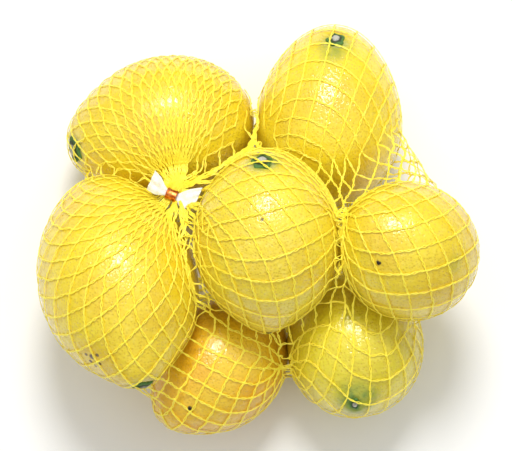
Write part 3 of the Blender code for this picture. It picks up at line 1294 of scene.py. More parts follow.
def bent(start: Array, waist: Array, end: Array, share: Array) -> Array:
    """Points at these shares of a line that bends towards its waist on the way."""
    return (1 - share) ** 2 * start + 2 * share * (1 - share) * waist + share**2 * end


def attribute_of(tree: Tree, name: str, kind: str) -> Socket:
    """The mesh's own attribute of this name and kind."""
    named = add_node(tree, "GeometryNodeInputNamedAttribute", {"Name": name}, data_type=kind)
    return named.outputs["Attribute"]


def new_tree(name: str, lengths: Sequence[str], counts: Sequence[str]) -> Tree:
    """Starts a geometry node tree.

    Args:
        name: The tree's name.
        lengths: The names of its inputs for lengths and shares.
        counts: The names of its inputs for whole numbers.

    Returns:
        The tree with its geometry sockets and named inputs.
    """
    tree = bpy.data.node_groups.new(name, "GeometryNodeTree")
    kinds = {"Geometry": "NodeSocketGeometry"}
    kinds.update(dict.fromkeys(lengths, "NodeSocketFloat"))
    kinds.update(dict.fromkeys(counts, "NodeSocketInt"))
    kinds["Finish"] = "NodeSocketMaterial"
    for label, kind in kinds.items():
        tree.interface.new_socket(label, in_out="INPUT", socket_type=kind)
    tree.interface.new_socket("Geometry", in_out="OUTPUT", socket_type="NodeSocketGeometry")
    return tree


def finish_tree(tree: Tree, shape: Socket, finish: Socket) -> None:
    """Ends a tree: smooth shading, real mesh and the material.

    Args:
        tree: The geometry node tree.
        shape: The geometry so far.
        finish: The material input.
    """
    smooth = add_node(tree, "GeometryNodeSetShadeSmooth", {"Geometry": shape})
    real = add_node(tree, "GeometryNodeRealizeInstances", {"Geometry": smooth.outputs[0]})
    painted = add_node(tree, "GeometryNodeSetMaterial", {"Geometry": real.outputs[0], "Material": finish})
    add_node(tree, "NodeGroupOutput", {"Geometry": painted.outputs[0]})


def run_tree(name: str, mesh: bpy.types.Mesh, tree: Tree, values: dict[str, object]) -> Piece:
    """Runs a tree on a mesh and keeps the result as a plain mesh.

    Args:
        name: The piece's name.
        mesh: What the tree starts from.
        tree: The geometry node tree.
        values: A value for each named input.

    Returns:
        An object at the origin with no modifier.
    """
    source = bpy.data.objects.new(name + "_lines", mesh)
    bpy.context.scene.collection.objects.link(source)
    modifier = source.modifiers.new("make", "NODES")
    modifier.node_group = tree
    for item in tree.interface.items_tree:
        if item.item_type == "SOCKET" and item.in_out == "INPUT" and item.name in values:
            modifier[item.identifier] = values[item.name]
    evaluated = source.evaluated_get(bpy.context.evaluated_depsgraph_get())
    made = bpy.data.meshes.new_from_object(evaluated)
    bpy.data.objects.remove(source, do_unlink=True)
    made.name = name
    piece = bpy.data.objects.new(name, made)
    bpy.context.scene.collection.objects.link(piece)
    return piece


# Finishes


def noise(tree: Tree, place: Socket, size: float, detail: float = 2.0) -> Socket:
    """Noise whose clouds are about this many mm across."""
    values = {"Vector": place, "Scale": 1 / (size * MM), "Detail": detail}
    return add_node(tree, "ShaderNodeTexNoise", values).outputs["Fac"]


def stretched(
    tree: Tree,
    value: Socket,
    low: float,
    high: float,
    first: float = 0.0,
    last: float = 1.0,
    **settings: object,
) -> Socket:
    """Turns one span of values into another, and holds what lies outside at its ends.

    Args:
        tree: The material's tree.
        value: The socket that carries the values.
        low: Where the span starts.
        high: Where it ends.
        first: What its start becomes.
        last: What its end becomes.
        settings: The node's own properties.

    Returns:
        The socket with the new values.
    """
    values = {"Value": value, "From Min": low, "From Max": high, "To Min": first, "To Max": last}
    return add_node(tree, "ShaderNodeMapRange", values, **settings).outputs[0]


def bumped(tree: Tree, height: Socket, depth: float, normal: Socket | None = None) -> Socket:
    """Roughens a surface.

    Args:
        tree: The material's tree.
        height: The socket that carries the heights, from 0 to 1.
        depth: How far the surface rises at a height of 1, in mm.
        normal: Other normals that it's laid on top of.

    Returns:
        The socket with the new normals.
    """
    values = {"Height": height, "Strength": 1.0, "Distance": depth * MM}
    if normal is not None:
        values["Normal"] = normal
    return add_node(tree, "ShaderNodeBump", values).outputs[0]


def mixed(tree: Tree, share: Socket | float, first: object, second: object) -> Socket:
    """Mixes two colours in a shader tree.

    Args:
        tree: The material's tree.
        share: How much of the second colour shows.
        first: The first colour or a socket that carries it.
        second: The second colour or a socket that carries it.

    Returns:
        The mixed colour's socket.
    """
    return add_node(tree, "ShaderNodeMix", {0: share, 6: first, 7: second}, data_type="RGBA").outputs[2]


class Finish:
    """What every finish shares: a fresh material with one Principled shader."""

    @staticmethod
    def start(name: str, constants: dict[str, object]) -> tuple[Tree, Node, Socket, Material]:
        """Makes the material.

        Args:
            name: The real material's name.
            constants: Values for the shader's own sockets.

        Returns:
            Its tree, its shader, its object coordinates and the material.
        """
        material = bpy.data.materials.new(name)
        material.use_nodes = True
        tree = material.node_tree
        tree.nodes.clear()
        shader = add_node(tree, "ShaderNodeBsdfPrincipled", constants)
        add_node(tree, "ShaderNodeOutputMaterial", {"Surface": shader.outputs[0]})
        place = add_node(tree, "ShaderNodeTexCoord").outputs["Object"]
        return tree, shader, place, material


@dataclass(frozen=True)
class Patch:
    """A round place on a lemon, in mm: how far it reaches and how strongly it's tinted."""

    centre: Triple
    radius: float
    strength: float = 1.0


@dataclass(frozen=True)
class LemonPeel(Finish):
    """Fresh, waxed lemon peel: golden, with oil glands as fine dimples and a glossy, clear skin."""

    name: str = "waxed lemon peel"
    skin: str = "F5DD28"
    deep: str = "EAC91E"
    pale: str = "FBE864"
    green: str = "6F8F35"
    speck: str = "5A3A14"
    pore: str = "BF9018"
    # how far apart, in mm, the deep and the pale places are, and how much of the pale one shows; a span
    # is the part of the clouds' values over which a colour comes in
    deep_spacing: float = 22.0
    deep_span: tuple[float, float] = (0.38, 0.66)
    pale_spacing: float = 2.4
    pale_span: tuple[float, float] = (0.5, 0.72)
    pale_share: float = 0.35
    # oil glands are 1 to 1.5 mm apart on a real lemon
    gland_spacing: float = 1.15
    gland_depth: float = 0.12
    gland_span: tuple[float, float] = (0.05, 0.45)
    pore_share: float = 0.36
    pore_span: tuple[float, float] = (0.1, 0.5)
    # the peel between them is uneven every few mm, which breaks its highlights into flecks
    fleck_spacing: float = 1.5
    fleck_depth: float = 0.3
    # green places are broken up, and fade over most of their radius, where a speck's edge is firm
    green_spacing: float = 5.0
    green_gain: float = 1.8
    green_fade: float = 0.85
    speck_fade: float = 0.35
    greens: tuple[Patch, ...] = ()
    specks: tuple[Patch, ...] = ()

    @staticmethod
    def patch_share(tree: Tree, place: Socket, patch: Patch, soft: float) -> Socket:
        """How much of a patch shows at each point.

        Args:
            tree: The material's tree.
            place: Object coordinates.
            patch: The patch.
            soft: The share of its radius over which it fades.

        Returns:
            A socket from 0 outside to the patch's strength inside.
        """
        centre = tuple(in_frame(np.array(patch.centre)))
        ends = {0: place, 1: centre}
        away = add_node(tree, "ShaderNodeVectorMath", ends, operation="DISTANCE").outputs["Value"]
        inner, outer = patch.radius * (1 - soft) * MM, patch.radius * MM
        return stretched(tree, away, inner, outer, patch.strength, 0.0, interpolation_type="SMOOTHSTEP")

    def make(self) -> Material:
        """Builds the material.

        Returns:
            The finished material.
        """
        constants = {
            "Roughness": 0.4,
            "IOR": 1.42,
            "Coat Weight": 1.0,
            "Coat Roughness": 0.1,
            "Subsurface Weight": 0.12,
            "Subsurface Radius": (1.0, 0.8, 0.1),
            "Subsurface Scale": 2.5 * MM,
        }
        tree, shader, place, material = self.start(self.name, constants)
        deep_share = stretched(tree, noise(tree, place, self.deep_spacing), *self.deep_span)
        pale_clouds = noise(tree, place, self.pale_spacing, 3.0)
        pale_share = stretched(tree, pale_clouds, *self.pale_span, 0.0, self.pale_share)
        colour = mixed(tree, deep_share, linear(self.skin), linear(self.deep))
        colour = mixed(tree, pale_share, colour, linear(self.pale))
        cells = {"Vector": place, "Scale": 1 / (self.gland_spacing * MM), "Randomness": 0.85}
        from_gland = add_node(tree, "ShaderNodeTexVoronoi", cells, feature="F1").outputs["Distance"]
        pore_share = stretched(tree, from_gland, *self.pore_span, self.pore_share, 0.0)
        colour = mixed(tree, pore_share, colour, linear(self.pore))
        patchy = noise(tree, place, self.green_spacing, 4.0)
        for patch in self.greens:
            broken = maths(tree, "MULTIPLY", self.patch_share(tree, place, patch, self.green_fade), patchy)
            share = maths(tree, "MULTIPLY", broken, self.green_gain, use_clamp=True)
            colour = mixed(tree, share, colour, linear(self.green))
        for patch in self.specks:
            share = self.patch_share(tree, place, patch, self.speck_fade)
            colour = mixed(tree, share, colour, linear(self.speck))
        tree.links.new(colour, shader.inputs["Base Color"])
        waved = bumped(tree, noise(tree, place, self.fleck_spacing), self.fleck_depth)
        gland_rim = stretched(tree, from_gland, *self.gland_span)
        dimpled = bumped(tree, gland_rim, self.gland_depth, waved)
        # the wax follows the uneven peel, so it glitters instead of shining in one smooth spot
        for normal in ("Normal", "Coat Normal"):
            tree.links.new(dimpled, shader.inputs[normal])
        return material


@dataclass(frozen=True)
class DriedButton(Finish):
    """A dried green calyx: leathery and matt, grey where the stalk broke off."""

    name: str = "dried lemon button"
    rim: str = "4F7A35"
    ring: str = "2E3A1C"
    core: str = "BDBBAA"
    # how far the colours' edges wander, and what is taken off so that they wander both ways
    raggedness: float = 0.35
    raggedness_middle: float = 0.17
    core_span: tuple[float, float] = (0.33, 0.5)
    rim_span: tuple[float, float] = (0.58, 0.8)
    grain_spacing: float = 0.9
    grain_depth: float = 0.25

    def make(self) -> Material:
        """Builds the material.

        Returns:
            The finished material, which reads the piece's own attribute named share.
        """
        tree, shader, place, material = self.start(self.name, {"Roughness": 0.7})
        share = add_node(tree, "ShaderNodeAttribute", attribute_name="share").outputs["Fac"]
        grain = noise(tree, place, self.grain_spacing, 3.0)
        ragged = maths(tree, "MULTIPLY_ADD", grain, self.raggedness, share)
        ragged = maths(tree, "SUBTRACT", ragged, self.raggedness_middle)
        colour = mixed(tree, stretched(tree, ragged, *self.core_span), linear(self.core), linear(self.ring))
        colour = mixed(tree, stretched(tree, ragged, *self.rim_span), colour, linear(self.rim))
        tree.links.new(colour, shader.inputs["Base Color"])
        tree.links.new(bumped(tree, grain, self.grain_depth), shader.inputs["Normal"])
        return material


@dataclass(frozen=True)
class NetPolyethylene(Finish):
    """Yellow polyethylene yarn: bright and waxy, with a faint painted glow in its own colour that stands in
    for light spreading inside the clear yarn.
    """

    name: str = "yellow polyethylene yarn"
    bright: str = "FFF04C"
    shade: str = "FFE93C"
    shade_spacing: float = 6.0
    shade_span: tuple[float, float] = (0.4, 0.65)
    # painted glow: the yarn gives off faint light in its own colour, standing in for the light of the peel
    # and the table that thin clear yarn passes on, so it stays bright all round
    painted_glow: float = 0.08

    def make(self) -> Material:
        """Builds the material.

        Returns:
            The finished material.
        """
        constants = {"Roughness": 0.3, "IOR": 1.5, "Emission Strength": self.painted_glow}
        tree, shader, place, material = self.start(self.name, constants)
        share = stretched(tree, noise(tree, place, self.shade_spacing), *self.shade_span)
        colour = mixed(tree, share, linear(self.bright), linear(self.shade))
        # the painted glow takes the yarn's own colour
        for socket in ("Base Color", "Emission Color"):
            tree.links.new(colour, shader.inputs[socket])
        return material


@dataclass(frozen=True)
class CrimpedCopper(Finish):
    """Drawn copper strip, bent round the tape: warm and shiny, duller in its dents."""

    name: str = "crimped copper strip"
    bright: str = "E08A4C"
    dull: str = "B4561E"
    wear_spacing: float = 1.1
    wear_span: tuple[float, float] = (0.4, 0.62)
    wear_depth: float = 0.08

    def make(self) -> Material:
        """Builds the material.

        Returns:
            The finished material.
        """
        tree, shader, place, material = self.start(self.name, {"Metallic": 1.0, "Roughness": 0.36})
        wear = noise(tree, place, self.wear_spacing, 3.0)
        colour = mixed(tree, stretched(tree, wear, *self.wear_span), linear(self.bright), linear(self.dull))
        tree.links.new(colour, shader.inputs["Base Color"])
        tree.links.new(bumped(tree, wear, self.wear_depth), shader.inputs["Normal"])
        return material


@dataclass(frozen=True)
class WhiteTapeFilm(Finish):
    """White plastic film tape, crumpled: soft gloss and fine creases, with cream patches on the crumples
    that are painted shade and painted yellow light bounced from the lemons.
    """

    name: str = "white film tape"
    white: str = "F7F6F1"
    painted_shade_cream: str = "EFE9CF"
    crease_spacing: float = 2.2
    cream_shade_span: tuple[float, float] = (0.45, 0.75)
    crease_depth: float = 0.3

    def make(self) -> Material:
        """Builds the material.

        Returns:
            The finished material.
        """
        constants = {"Roughness": 0.42, "Subsurface Weight": 0.2, "Subsurface Scale": 1.0 * MM}
        tree, shader, place, material = self.start(self.name, constants)
        crease = noise(tree, place, self.crease_spacing, 3.0)
        # painted shade and bounced yellow light: cream is mixed into the white where the crumple noise is
        # high
        share = stretched(tree, crease, *self.cream_shade_span)
        colour = mixed(tree, share, linear(self.white), linear(self.painted_shade_cream))
        tree.links.new(colour, shader.inputs["Base Color"])
        tree.links.new(bumped(tree, crease, self.crease_depth), shader.inputs["Normal"])
        return material


@dataclass(frozen=True)
class PaleTable(Finish):
    """A matt white laminate table top, with the faintest grain."""

    name: str = "matt white laminate"
    top: str = "F8F8F7"
    grain: str = "F4F4F3"
    grain_spacing: float = 40.0

    def make(self) -> Material:
        """Builds the material.

        Returns:
            The finished material.
        """
        tree, shader, place, material = self.start(self.name, {"Roughness": 0.8})
        colour = mixed(tree, noise(tree, place, self.grain_spacing), linear(self.top), linear(self.grain))
        tree.links.new(colour, shader.inputs["Base Color"])
        return material


# The lemons as pieces


@dataclass(frozen=True)
class LemonLooks:
    """What one lemon's ends carry, and its peel."""

    ends: tuple[End, ...]
    peel: LemonPeel = LemonPeel()


def button(heading: float, pitch: float, radius: float) -> End:
    """A dried button at this direction from the lemon's centre."""
    return End(EndKind.BUTTON, heading, pitch, radius)


def scar(heading: float, pitch: float, radius: float) -> End:
    """A flower scar at this direction from the lemon's centre."""
    return End(EndKind.SCAR, heading, pitch, radius)


LOOKS: dict[str, LemonLooks] = {
    "top_left": LemonLooks(
        (button(195.5, 10, 5.6), scar(12, -25, 1.6)),
        LemonPeel(greens=(Patch((-79.0, 33.5, 39.0), 9.0, 0.8),)),
    ),
    "top_right": LemonLooks(
        (button(85.5, 31, 4.4), scar(265, -20, 1.6)),
        LemonPeel(greens=(Patch((32.5, 76.0, 54.0), 11.0, 0.7), Patch((30.0, 69.0, 57.5), 8.0, 0.35))),
    ),
    "middle": LemonLooks(
        (button(94.4, 33, 4.6), scar(271, -15, 1.7)),
        LemonPeel(
            skin="F6E038",
            pale="FCEC7E",
            greens=(Patch((2.0, 19.3, 85.7), 9.5, 1.1),),
            specks=(Patch((1.6, -6.7, 95.7), 0.8, 0.8), Patch((-15.0, 3.0, 87.8), 1.2, 0.3)),
        ),
    ),
    "left": LemonLooks(
        (button(284, 14, 4.6), scar(104, -35, 1.7)),
        LemonPeel(
            greens=(Patch((-45.0, -70.0, 66.0), 10.0, 0.7),),
            specks=(
                Patch((-66.0, -58.0, 73.1), 1.5, 1.0),
                Patch((-63.6, -56.6, 74.6), 1.0, 0.9),
                Patch((-68.6, -57.4, 72.4), 0.9, 0.9),
                Patch((-67.0, -60.4, 70.7), 1.0, 1.0),
                Patch((-62.8, -60.4, 72.2), 0.9, 0.9),
                Patch((-65.0, -62.2, 69.8), 0.8, 0.9),
            ),
        ),
    ),
    "right": LemonLooks(
        (scar(212, 57, 1.2), button(32, -57, 4.6)),
        LemonPeel(
            greens=(
                Patch((40.0, -32.4, 71.4), 5.0, 0.5),
                Patch((77.6, -22.7, 86.7), 6.0, 0.35),
                Patch((73.0, 11.0, 72.6), 6.0, 0.5),
                Patch((55.0, 8.0, 84.0), 5.0, 0.25),
            )
        ),
    ),
    "bottom_right": LemonLooks(
        (button(268, 36, 2.4), scar(92, -30, 1.6)),
        LemonPeel(
            skin="ECDE30",
            deep="DFCE26",
            greens=(Patch((40.3, -73.0, 48.6), 13.0, 1.0), Patch((38.0, -40.0, 56.0), 9.0, 0.2)),
        ),
    ),
    "bottom_left": LemonLooks(
        (scar(238.7, 39.6, 1.3), button(46, -15, 4.4)),
        LemonPeel(skin="F3CB24", deep="E8AF18", pale="FBDA56"),
    ),
}


@dataclass
class LemonPiece:
    """One lemon's peel and its two ends, as meshes. Sizes are in mm and degrees."""

    lemon: Lemon
    number: int
    rings: int = 120
    segments: int = 160
    lumps: int = 30
    lump_height: float = 0.45
    lump_spreads: tuple[float, float] = (14, 34)
    ridge_height: float = 0.22
    ridge_spread: float = 34
    ridges: int = 7
    table_clearance: float = 1.1
    dish_depth: float = 1.1
    # the dish's radius over the button's
    dish_share: float = 1.25
    button_segments: int = 40
    button_rings: int = 12
    # at these shares of an end's radius it stands so high over the peel
    button_profile: tuple[tuple[float, float], ...] = (
        (0, 0.5),
        (0.2, 0.6),
        (0.34, 1.5),
        (0.45, 1.1),
        (0.7, 0.8),
        (0.9, 0.7),
        (1, -0.3),
    )
    scar_profile: tuple[tuple[float, float], ...] = ((0, 0.1), (0.35, 0.5), (0.7, 0.4), (1, -0.3))
    # an end's outline has lobes, is a little oval, and its height wavers
    button_lobes: int = 5
    scar_lobes: int = 3
    lobe_share: float = 0.14
    oval_share: float = 0.07
    end_waver: float = 0.12
    # how deep an end is set into the peel
    end_depth: float = 2.0
    looks: LemonLooks = field(init=False)

    def __post_init__(self) -> None:
        """Looks up the lemon's colours and ends."""
        self.looks = LOOKS[self.lemon.name]

    def swell(self, rays: Array, angle: Array, turn: Array) -> Array:
        """The unevenness of a grown peel, never above the smooth one, and a dish round each button.

        Args:
            rays: Unit directions from the centre.
            angle: Each ray's angle from the tip.
            turn: Each ray's turn about the axis.

        Returns:
            Depths in mm, zero or less.
        """
        rng = np.random.default_rng(100 + self.number)
        depth = np.zeros(len(rays))
        for _ in range(self.lumps):
            centre = rng.normal(0, 1, 3)
            centre /= np.linalg.norm(centre)
            spread = math.radians(rng.uniform(*self.lump_spreads))
            off = np.arccos(np.clip(rays @ centre, -1, 1))
            depth += rng.uniform(-1, 1) * np.exp(-((off / spread) ** 2))
        depth = self.lump_height * (np.tanh(depth) - 1) / 2
        for end in self.looks.ends:
            if end.kind is EndKind.BUTTON:
                off = np.arccos(np.clip(rays @ direction(end.heading, end.pitch), -1, 1))
                wide = self.dish_share * end.radius / self.lemon.tip_reach
                depth -= self.dish_depth * np.exp(-((off / wide) ** 4))
        start = rng.uniform(0, 2 * math.pi)
        spread = math.radians(self.ridge_spread)
        near_tip = np.exp(-((angle / spread) ** 2))
        near_stem = np.exp(-(((math.pi - angle) / spread) ** 2))
        ridge = self.ridge_height * (np.sin(self.ridges * turn + start) - 1) / 2
        return depth + ridge * (near_tip + near_stem) * np.sin(angle)

    def on_peel(self, rays: Array, lift: Array | float = 0.0) -> Array:
        """Places on the lemon's peel.

        Args:
            rays: Unit directions from the centre.
            lift: How far the places stand off the peel.

        Returns:
            Places in mm.
        """
        axis, side, third = self.lemon.frame()
        angle = np.arccos(np.clip(rays @ axis, -1, 1))
        turn = np.arctan2(rays @ third, rays @ side)
        reach = self.lemon.reach(angle) + self.swell(rays, angle, turn) + lift
        return self.lemon.middle() + reach[:, None] * rays

    def snapped(self, patches: tuple[Patch, ...]) -> tuple[Patch, ...]:
        """Moves patches onto the peel, along their rays from the lemon's centre.

        Args:
            patches: The patches.

        Returns:
            The same patches with new centres.
        """
        rays = [np.array([patch.centre]) - self.lemon.middle() for patch in patches]
        places = [tuple(self.on_peel(ray / np.linalg.norm(ray))[0]) for ray in rays]
        return tuple(replace(patch, centre=place) for patch, place in zip(patches, places))

    def build_peel(self, material: Material) -> Piece:
        """Makes the peel as one closed skin.

        Args:
            material: The peel's finish.

        Returns:
            The piece.
        """
        angle = np.repeat(math.pi * np.arange(1, self.rings) / self.rings, self.segments)
        turn = np.tile(2 * math.pi * np.arange(self.segments) / self.segments, self.rings - 1)
        angle = np.concatenate([[0.0], angle, [math.pi]])
        turn = np.concatenate([[0.0], turn, [0.0]])
        points = self.on_peel(spread_rays(self.lemon.frame(), angle, turn))
        points[:, 2] = np.maximum(points[:, 2], self.table_clearance)
        faces = ring_faces(self.rings - 1, self.segments)
        return mesh_object("lemon_" + self.lemon.name, in_frame(points), faces, material)

    def build_end(self, name: str, end: End, seed: int, material: Material) -> Piece:
        """Makes what grows at one end, laid over the peel.

        Args:
            name: The piece's name.
            end: The end.
            seed: What its uneven outline is drawn with.
            material: Its finish.

        Returns:
            The piece.
        """
        rng = np.random.default_rng(seed)
        lobes, profile = self.button_lobes, self.button_profile
        if end.kind is EndKind.SCAR:
            lobes, profile = self.scar_lobes, self.scar_profile
        rings, segments = self.button_rings, self.button_segments
        start = rng.uniform(0, 2 * math.pi)
        share = np.repeat(np.arange(1, rings + 1) / rings, segments)
        turn = np.tile(2 * math.pi * np.arange(segments) / segments, rings)
        star = 1 + self.lobe_share * share * np.cos(lobes * turn + start)
        star = star + self.oval_share * np.sin(2 * turn + 2 * start)
        height = np.interp(share, *zip(*profile)) + self.end_waver * np.sin(3 * turn + start) * share
        share = np.concatenate([[0.0], share])
        height = np.concatenate([[profile[0][1]], height])
        angle = np.concatenate([[0.0], end.radius / self.lemon.tip_reach * share[1:] * star])
        turn = np.concatenate([[0.0], turn])
        middle = direction(end.heading, end.pitch)
        side = direction(end.heading + 90, 0)
        rays = spread_rays((middle, side, np.cross(middle, side)), angle, turn)
        top = self.on_peel(rays, height)
        base = self.on_peel(rays[:1], -self.end_depth)
        faces = ring_faces(rings, segments)
        piece = mesh_object(name, in_frame(np.concatenate([top, base])), faces, material)
        attribute = piece.data.attributes.new("share", "FLOAT", "POINT")
        attribute.data.foreach_set("value", np.concatenate([share, [1.0]]).astype(np.float32))
        return piece

    def build(self, end_finishes: dict[EndKind, Material]) -> None:
        """Builds the lemon and hands its pieces over.

        Args:
            end_finishes: The finish of each kind of end.
        """
        peel = self.looks.peel
        name = f"{peel.name} {self.lemon.name.replace('_', ' ')}"
        peel = replace(peel, name=name, greens=self.snapped(peel.greens), specks=self.snapped(peel.specks))
        hand_over(self.build_peel(peel.make()), BAG_NODE)
        for end in self.looks.ends:
            name = f"{end.kind.name.lower()}_{self.lemon.name}"
            piece = self.build_end(name, end, 200 + self.number, end_finishes[end.kind])
            hand_over(piece, BAG_NODE)


def spread_rays(frame_axes: tuple[Array, Array, Array], angle: Array, turn: Array) -> Array:
    """Unit directions round an axis.

    Args:
        frame_axes: The axis and two unit directions across it.
        angle: Angles from the axis.
        turn: Turns about it.

    Returns:
        The directions.
    """
    axis, side, third = frame_axes
    across = np.cos(turn)[:, None] * side + np.sin(turn)[:, None] * third
    return np.cos(angle)[:, None] * axis + np.sin(angle)[:, None] * across


def band_faces(here: int, there: int, count: int) -> list[tuple[int, ...]]:
    """Faces of the band between two loops of points, from the number that each loop starts with."""
    pairs = [(step, (step + 1) % count) for step in range(count)]
    return [(here + step, there + step, there + after, here + after) for step, after in pairs]


def ring_faces(rings: int, segments: int) -> list[tuple[int, ...]]:
    """Faces of a closed skin of rings between two pole points.

    Args:
        rings: How many rings there are.
        segments: How many points each ring has.

    Returns:
        Faces for points in the order first pole, rings, last pole.
    """
    last = 1 + rings * segments
    faces: list[tuple[int, ...]] = []
    for step in range(segments):
        after = (step + 1) % segments
        faces.append((0, 1 + step, 1 + after))
        faces.append((last, last - segments + after, last - segments + step))
    for row in range(rings - 1):
        start = 1 + row * segments
        faces += band_faces(start, start + segments, segments)
    return faces


# The tie


@dataclass
class Tie:
    """The white tape and the crimped ring that hold the net shut. Sizes are in mm."""

    outer_radius: float = 2.45
    wall: float = 0.5
    length: float = 4.6
    ring_sides: int = 48
    # the ring is pressed in at so many places, by so much
    dents: int = 4
    dent_depth: float = 0.06
    tape_thickness: float = 0.55
    neck_half_width: float = 1.45
    neck_half_height: float = 0.7
    pleat_height: float = 0.45
    pleats: float = 2.5
    crumple_height: float = 0.09
    columns: int = 48
    rows: int = 30
    # reach, upper edge, lower edge and lift of each wing's outline
    left_wing: tuple[tuple[float, float, float, float], ...] = (
        (2.4, 1.45, -1.45, 0.0),
        (4.2, 2.6, -2.2, 1.0),
        (6.4, 4.6, -2.9, 2.2),
        (9.8, 6.0, -2.6, 3.8),
    )
    right_wing: tuple[tuple[float, float, float, float], ...] = (
        (2.4, 1.45, -1.45, 0.0),
        (4.0, 3.0, -2.9, 0.9),
        (6.6, 4.9, -4.3, 2.4),
        (10.8, 7.0, -0.6, 3.8),
    )

    def placed(self, points: Array) -> Array:
        """Turns the tie's own points and puts them in their place.

        Args:
            points: Places with the tape along X.

        Returns:
            Places in the shared frame, in metres.
        """
        along = direction(TIE_HEADING, 0)
        across = np.array([-along[1], along[0], 0.0])
        up = np.array([0.0, 0.0, 1.0])
        turned = points[:, :1] * along + points[:, 1:2] * across + points[:, 2:3] * up
        return in_frame(turned + np.array(TIE_CENTRE))

    def build_ring(self, material: Material) -> Piece:
        """Makes the crimped ring: a strip bent into a tube, pressed a little flat, with rolled ends.

        Args:
            material: Its finish.

        Returns:
            The piece.
        """
        inner = self.outer_radius - self.wall
        half = self.length / 2
        outer = self.outer_radius
        # from the inside, round the rolled end, to the dip outside
        right_half = (
            (0.8, inner + 0.03),
            (half - 0.2, inner),
            (half - 0.05, inner + 0.22),
            (half, outer - 0.2),
            (half - 0.15, outer - 0.02),
            (half - 0.6, outer - 0.06),
            (0.9, outer - 0.2),
        )
        left_half = tuple((-x, radius) for x, radius in reversed(right_half))
        profile = (*right_half, (0.0, outer - 0.26), *left_half)
        points = []
        for step in range(self.ring_sides):
            turn = 2 * math.pi * step / self.ring_sides
            dent = self.dent_depth * math.cos(self.dents * turn + 0.6)
            for x, radius in profile:
                grown = radius - max(dent, 0) * (radius > inner + 0.1)
                points.append((x, grown * math.cos(turn), grown * math.sin(turn)))
        count = len(profile)
        faces = []
        for step in range(self.ring_sides):
            faces += band_faces(step * count, (step + 1) % self.ring_sides * count, count)
        return mesh_object("copper_crimp_ring", self.placed(np.array(points)), faces, material)

    def sections(self) -> list[tuple[float, float, float, float, float]]:
        """The tape's cross-sections from its left end, through the ring, to its right end.

        Returns:
            For each one its reach, upper edge, lower edge, lift and how far out it is, from 0 to 1.
        """
        shares = np.linspace(0, 1, self.rows)

        def section(wing: tuple[tuple[float, ...], ...], sign: int, share: float) -> tuple[float, ...]:
            """Works out one cross-section of a wing.

            Args:
                wing: The wing's outline.
                sign: Which way along X the wing reaches.
                share: How far out the cross-section is.

            Returns:
                Its reach, upper edge, lower edge, lift and share.
            """
            reaches, *edges = zip(*wing)
            reach = reaches[0] + (reaches[-1] - reaches[0]) * share
            upper, lower, lift = (np.interp(reach, reaches, edge) for edge in edges)
            return sign * reach, upper, lower, lift, share

        left = [section(self.left_wing, -1, share) for share in shares[::-1]]
        neck = [(0.0, self.neck_half_width, -self.neck_half_width, 0.0, 0.0)]
        return left + neck + [section(self.right_wing, 1, share) for share in shares]

    def build_bow(self, material: Material) -> Piece:
        """Makes the tape: one strip, bunched in the ring, pleated and crumpled at both ends.

        Args:
            material: Its finish.

        Returns:
            The piece.
        """
        rng = np.random.default_rng(31)
        waves = [(rng.uniform(0.5, 1.6), rng.uniform(0.5, 1.6), rng.uniform(0, 6.3)) for _ in range(5)]
        sections = self.sections()
        points = []
        for reach, upper, lower, lift, share in sections:
            half_width = (upper - lower) / 2
            middle = (upper + lower) / 2
            thinned = (self.tape_thickness / 2 - self.neck_half_height) * min(1, 3 * share)
            half_height = self.neck_half_height + thinned
            for step in range(2 * self.columns):
                turn = math.pi * step / self.columns
                across = math.cos(turn)
                width = middle + half_width * across
                pleat = self.pleat_height * share * math.sin(self.pleats * math.pi * across)
                crumple = sum(math.sin(a * reach + b * width + c) for a, b, c in waves)
                thick = half_height * max(-1.0, min(1.0, 1.6 * math.sin(turn)))
                crease = self.crumple_height * crumple * min(1, 2 * share)
                points.append((reach, width, lift + pleat + crease + thick))
        loop = 2 * self.columns
        faces = []
        for row in range(len(sections) - 1):
            faces += band_faces(row * loop, (row + 1) * loop, loop)
        for start in (0, (len(sections) - 1) * loop):
            for step in range(self.columns):
                corners = (step, step + 1, loop - step - 1, (loop - step) % loop)
                faces.append(tuple(dict.fromkeys(start + corner for corner in corners)))
        return mesh_object("white_tape_bow", self.placed(np.array(points)), faces, material)

    def build(self) -> None:
        """Builds the ring and the tape, and hands them over."""
        hand_over(self.build_ring(CrimpedCopper().make()), RING_NODE)
        hand_over(self.build_bow(WhiteTapeFilm().make()), BOW_NODE)


# The studio


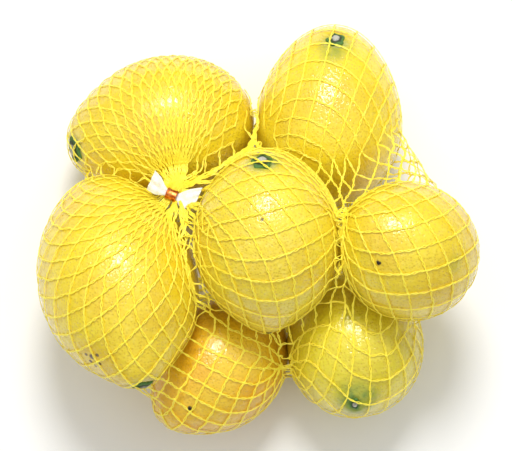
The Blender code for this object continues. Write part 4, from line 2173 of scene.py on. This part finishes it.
@dataclass
class Studio:
    """The table, the light and the camera, in metres and degrees. The lens and its sensor are in mm."""

    table_size: float = 6.0
    lens: float = 142.0
    sensor: float = 36.0
    nearest: float = 0.01
    distance: float = 0.85
    elevation: float = 80.0
    target_height: float = 0.035
    shift_x: float = -0.0039
    shift_y: float = 0.0088
    key_power: float = 10.8
    key_size: float = 0.42
    key_tilt: float = 28.0
    key_distance: float = 1.3
    sky: float = 0.83
    # the room is dimmer at the horizon, and full from this height of the upward direction on
    horizon_share: float = 0.16
    full_from: float = 0.8

    def build(self) -> None:
        """Makes the table, the light and the camera."""
        half = self.table_size / 2
        corners = np.array([(-half, -half, 0), (half, -half, 0), (half, half, 0), (-half, half, 0)])
        table = mesh_object("table_top", corners, [(0, 1, 2, 3)], PaleTable().make(), closed=False)
        scene = bpy.context.scene
        scene.world = self.room()
        tilt = math.radians(self.key_tilt)
        light = bpy.data.lights.new("soft_box", "AREA")
        light.shape = "DISK"
        light.energy = self.key_power
        light.size = self.key_size
        box = bpy.data.objects.new("soft_box", light)
        box.location = (0, self.key_distance * math.sin(tilt), self.key_distance * math.cos(tilt))
        box.rotation_euler = (-tilt, 0, 0)
        scene.collection.objects.link(box)
        lens = bpy.data.cameras.new("camera")
        lens.lens = self.lens
        lens.sensor_width = self.sensor
        lens.shift_x = self.shift_x
        lens.shift_y = self.shift_y
        lens.clip_start = self.nearest
        camera = bpy.data.objects.new("camera", lens)
        rise = math.radians(self.elevation)
        target = Vector((HEAP_SHIFT[0] * MM, HEAP_SHIFT[1] * MM, self.target_height))
        camera.location = target + self.distance * Vector((0, -math.cos(rise), math.sin(rise)))
        camera.rotation_euler = (math.pi / 2 - rise, 0, 0)
        scene.collection.objects.link(camera)
        scene.camera = camera
        # a plain view keeps the net's yellow as strong as the photograph's
        scene.view_settings.view_transform = "Standard"

    def room(self) -> bpy.types.World:
        """Makes the soft light of a white room that is brightest overhead.

        Returns:
            The world.
        """
        world = bpy.data.worlds.new("soft_room")
        world.use_nodes = True
        tree = world.node_tree
        tree.nodes.clear()
        towards = add_node(tree, "ShaderNodeTexCoord").outputs["Generated"]
        height = add_node(tree, "ShaderNodeSeparateXYZ", {0: towards}).outputs["Z"]
        share = stretched(tree, height, 0.0, self.full_from, self.horizon_share, 1.0)
        glow = add_node(tree, "ShaderNodeBackground", {"Strength": self.sky})
        tree.links.new(share, glow.inputs["Color"])
        add_node(tree, "ShaderNodeOutputWorld", {"Surface": glow.outputs[0]})
        return world


def main() -> None:
    """Builds the studio, the lemons, the net and the tie, in that order."""
    logging.basicConfig(level=logging.INFO, format="%(name)s: %(message)s")
    Studio().build()
    end_finishes = {
        EndKind.BUTTON: DriedButton().make(),
        EndKind.SCAR: DriedButton("dried flower scar", rim="6B5A22", ring="3A2A12", core="2A1E10").make(),
    }
    for number, lemon in enumerate(LEMONS):
        LemonPiece(lemon, number).build(end_finishes)
    Yarn(NetShape(HeapSkin()), NetPolyethylene().make()).build()
    Tie().build()


if __name__ == "__main__":
    main()
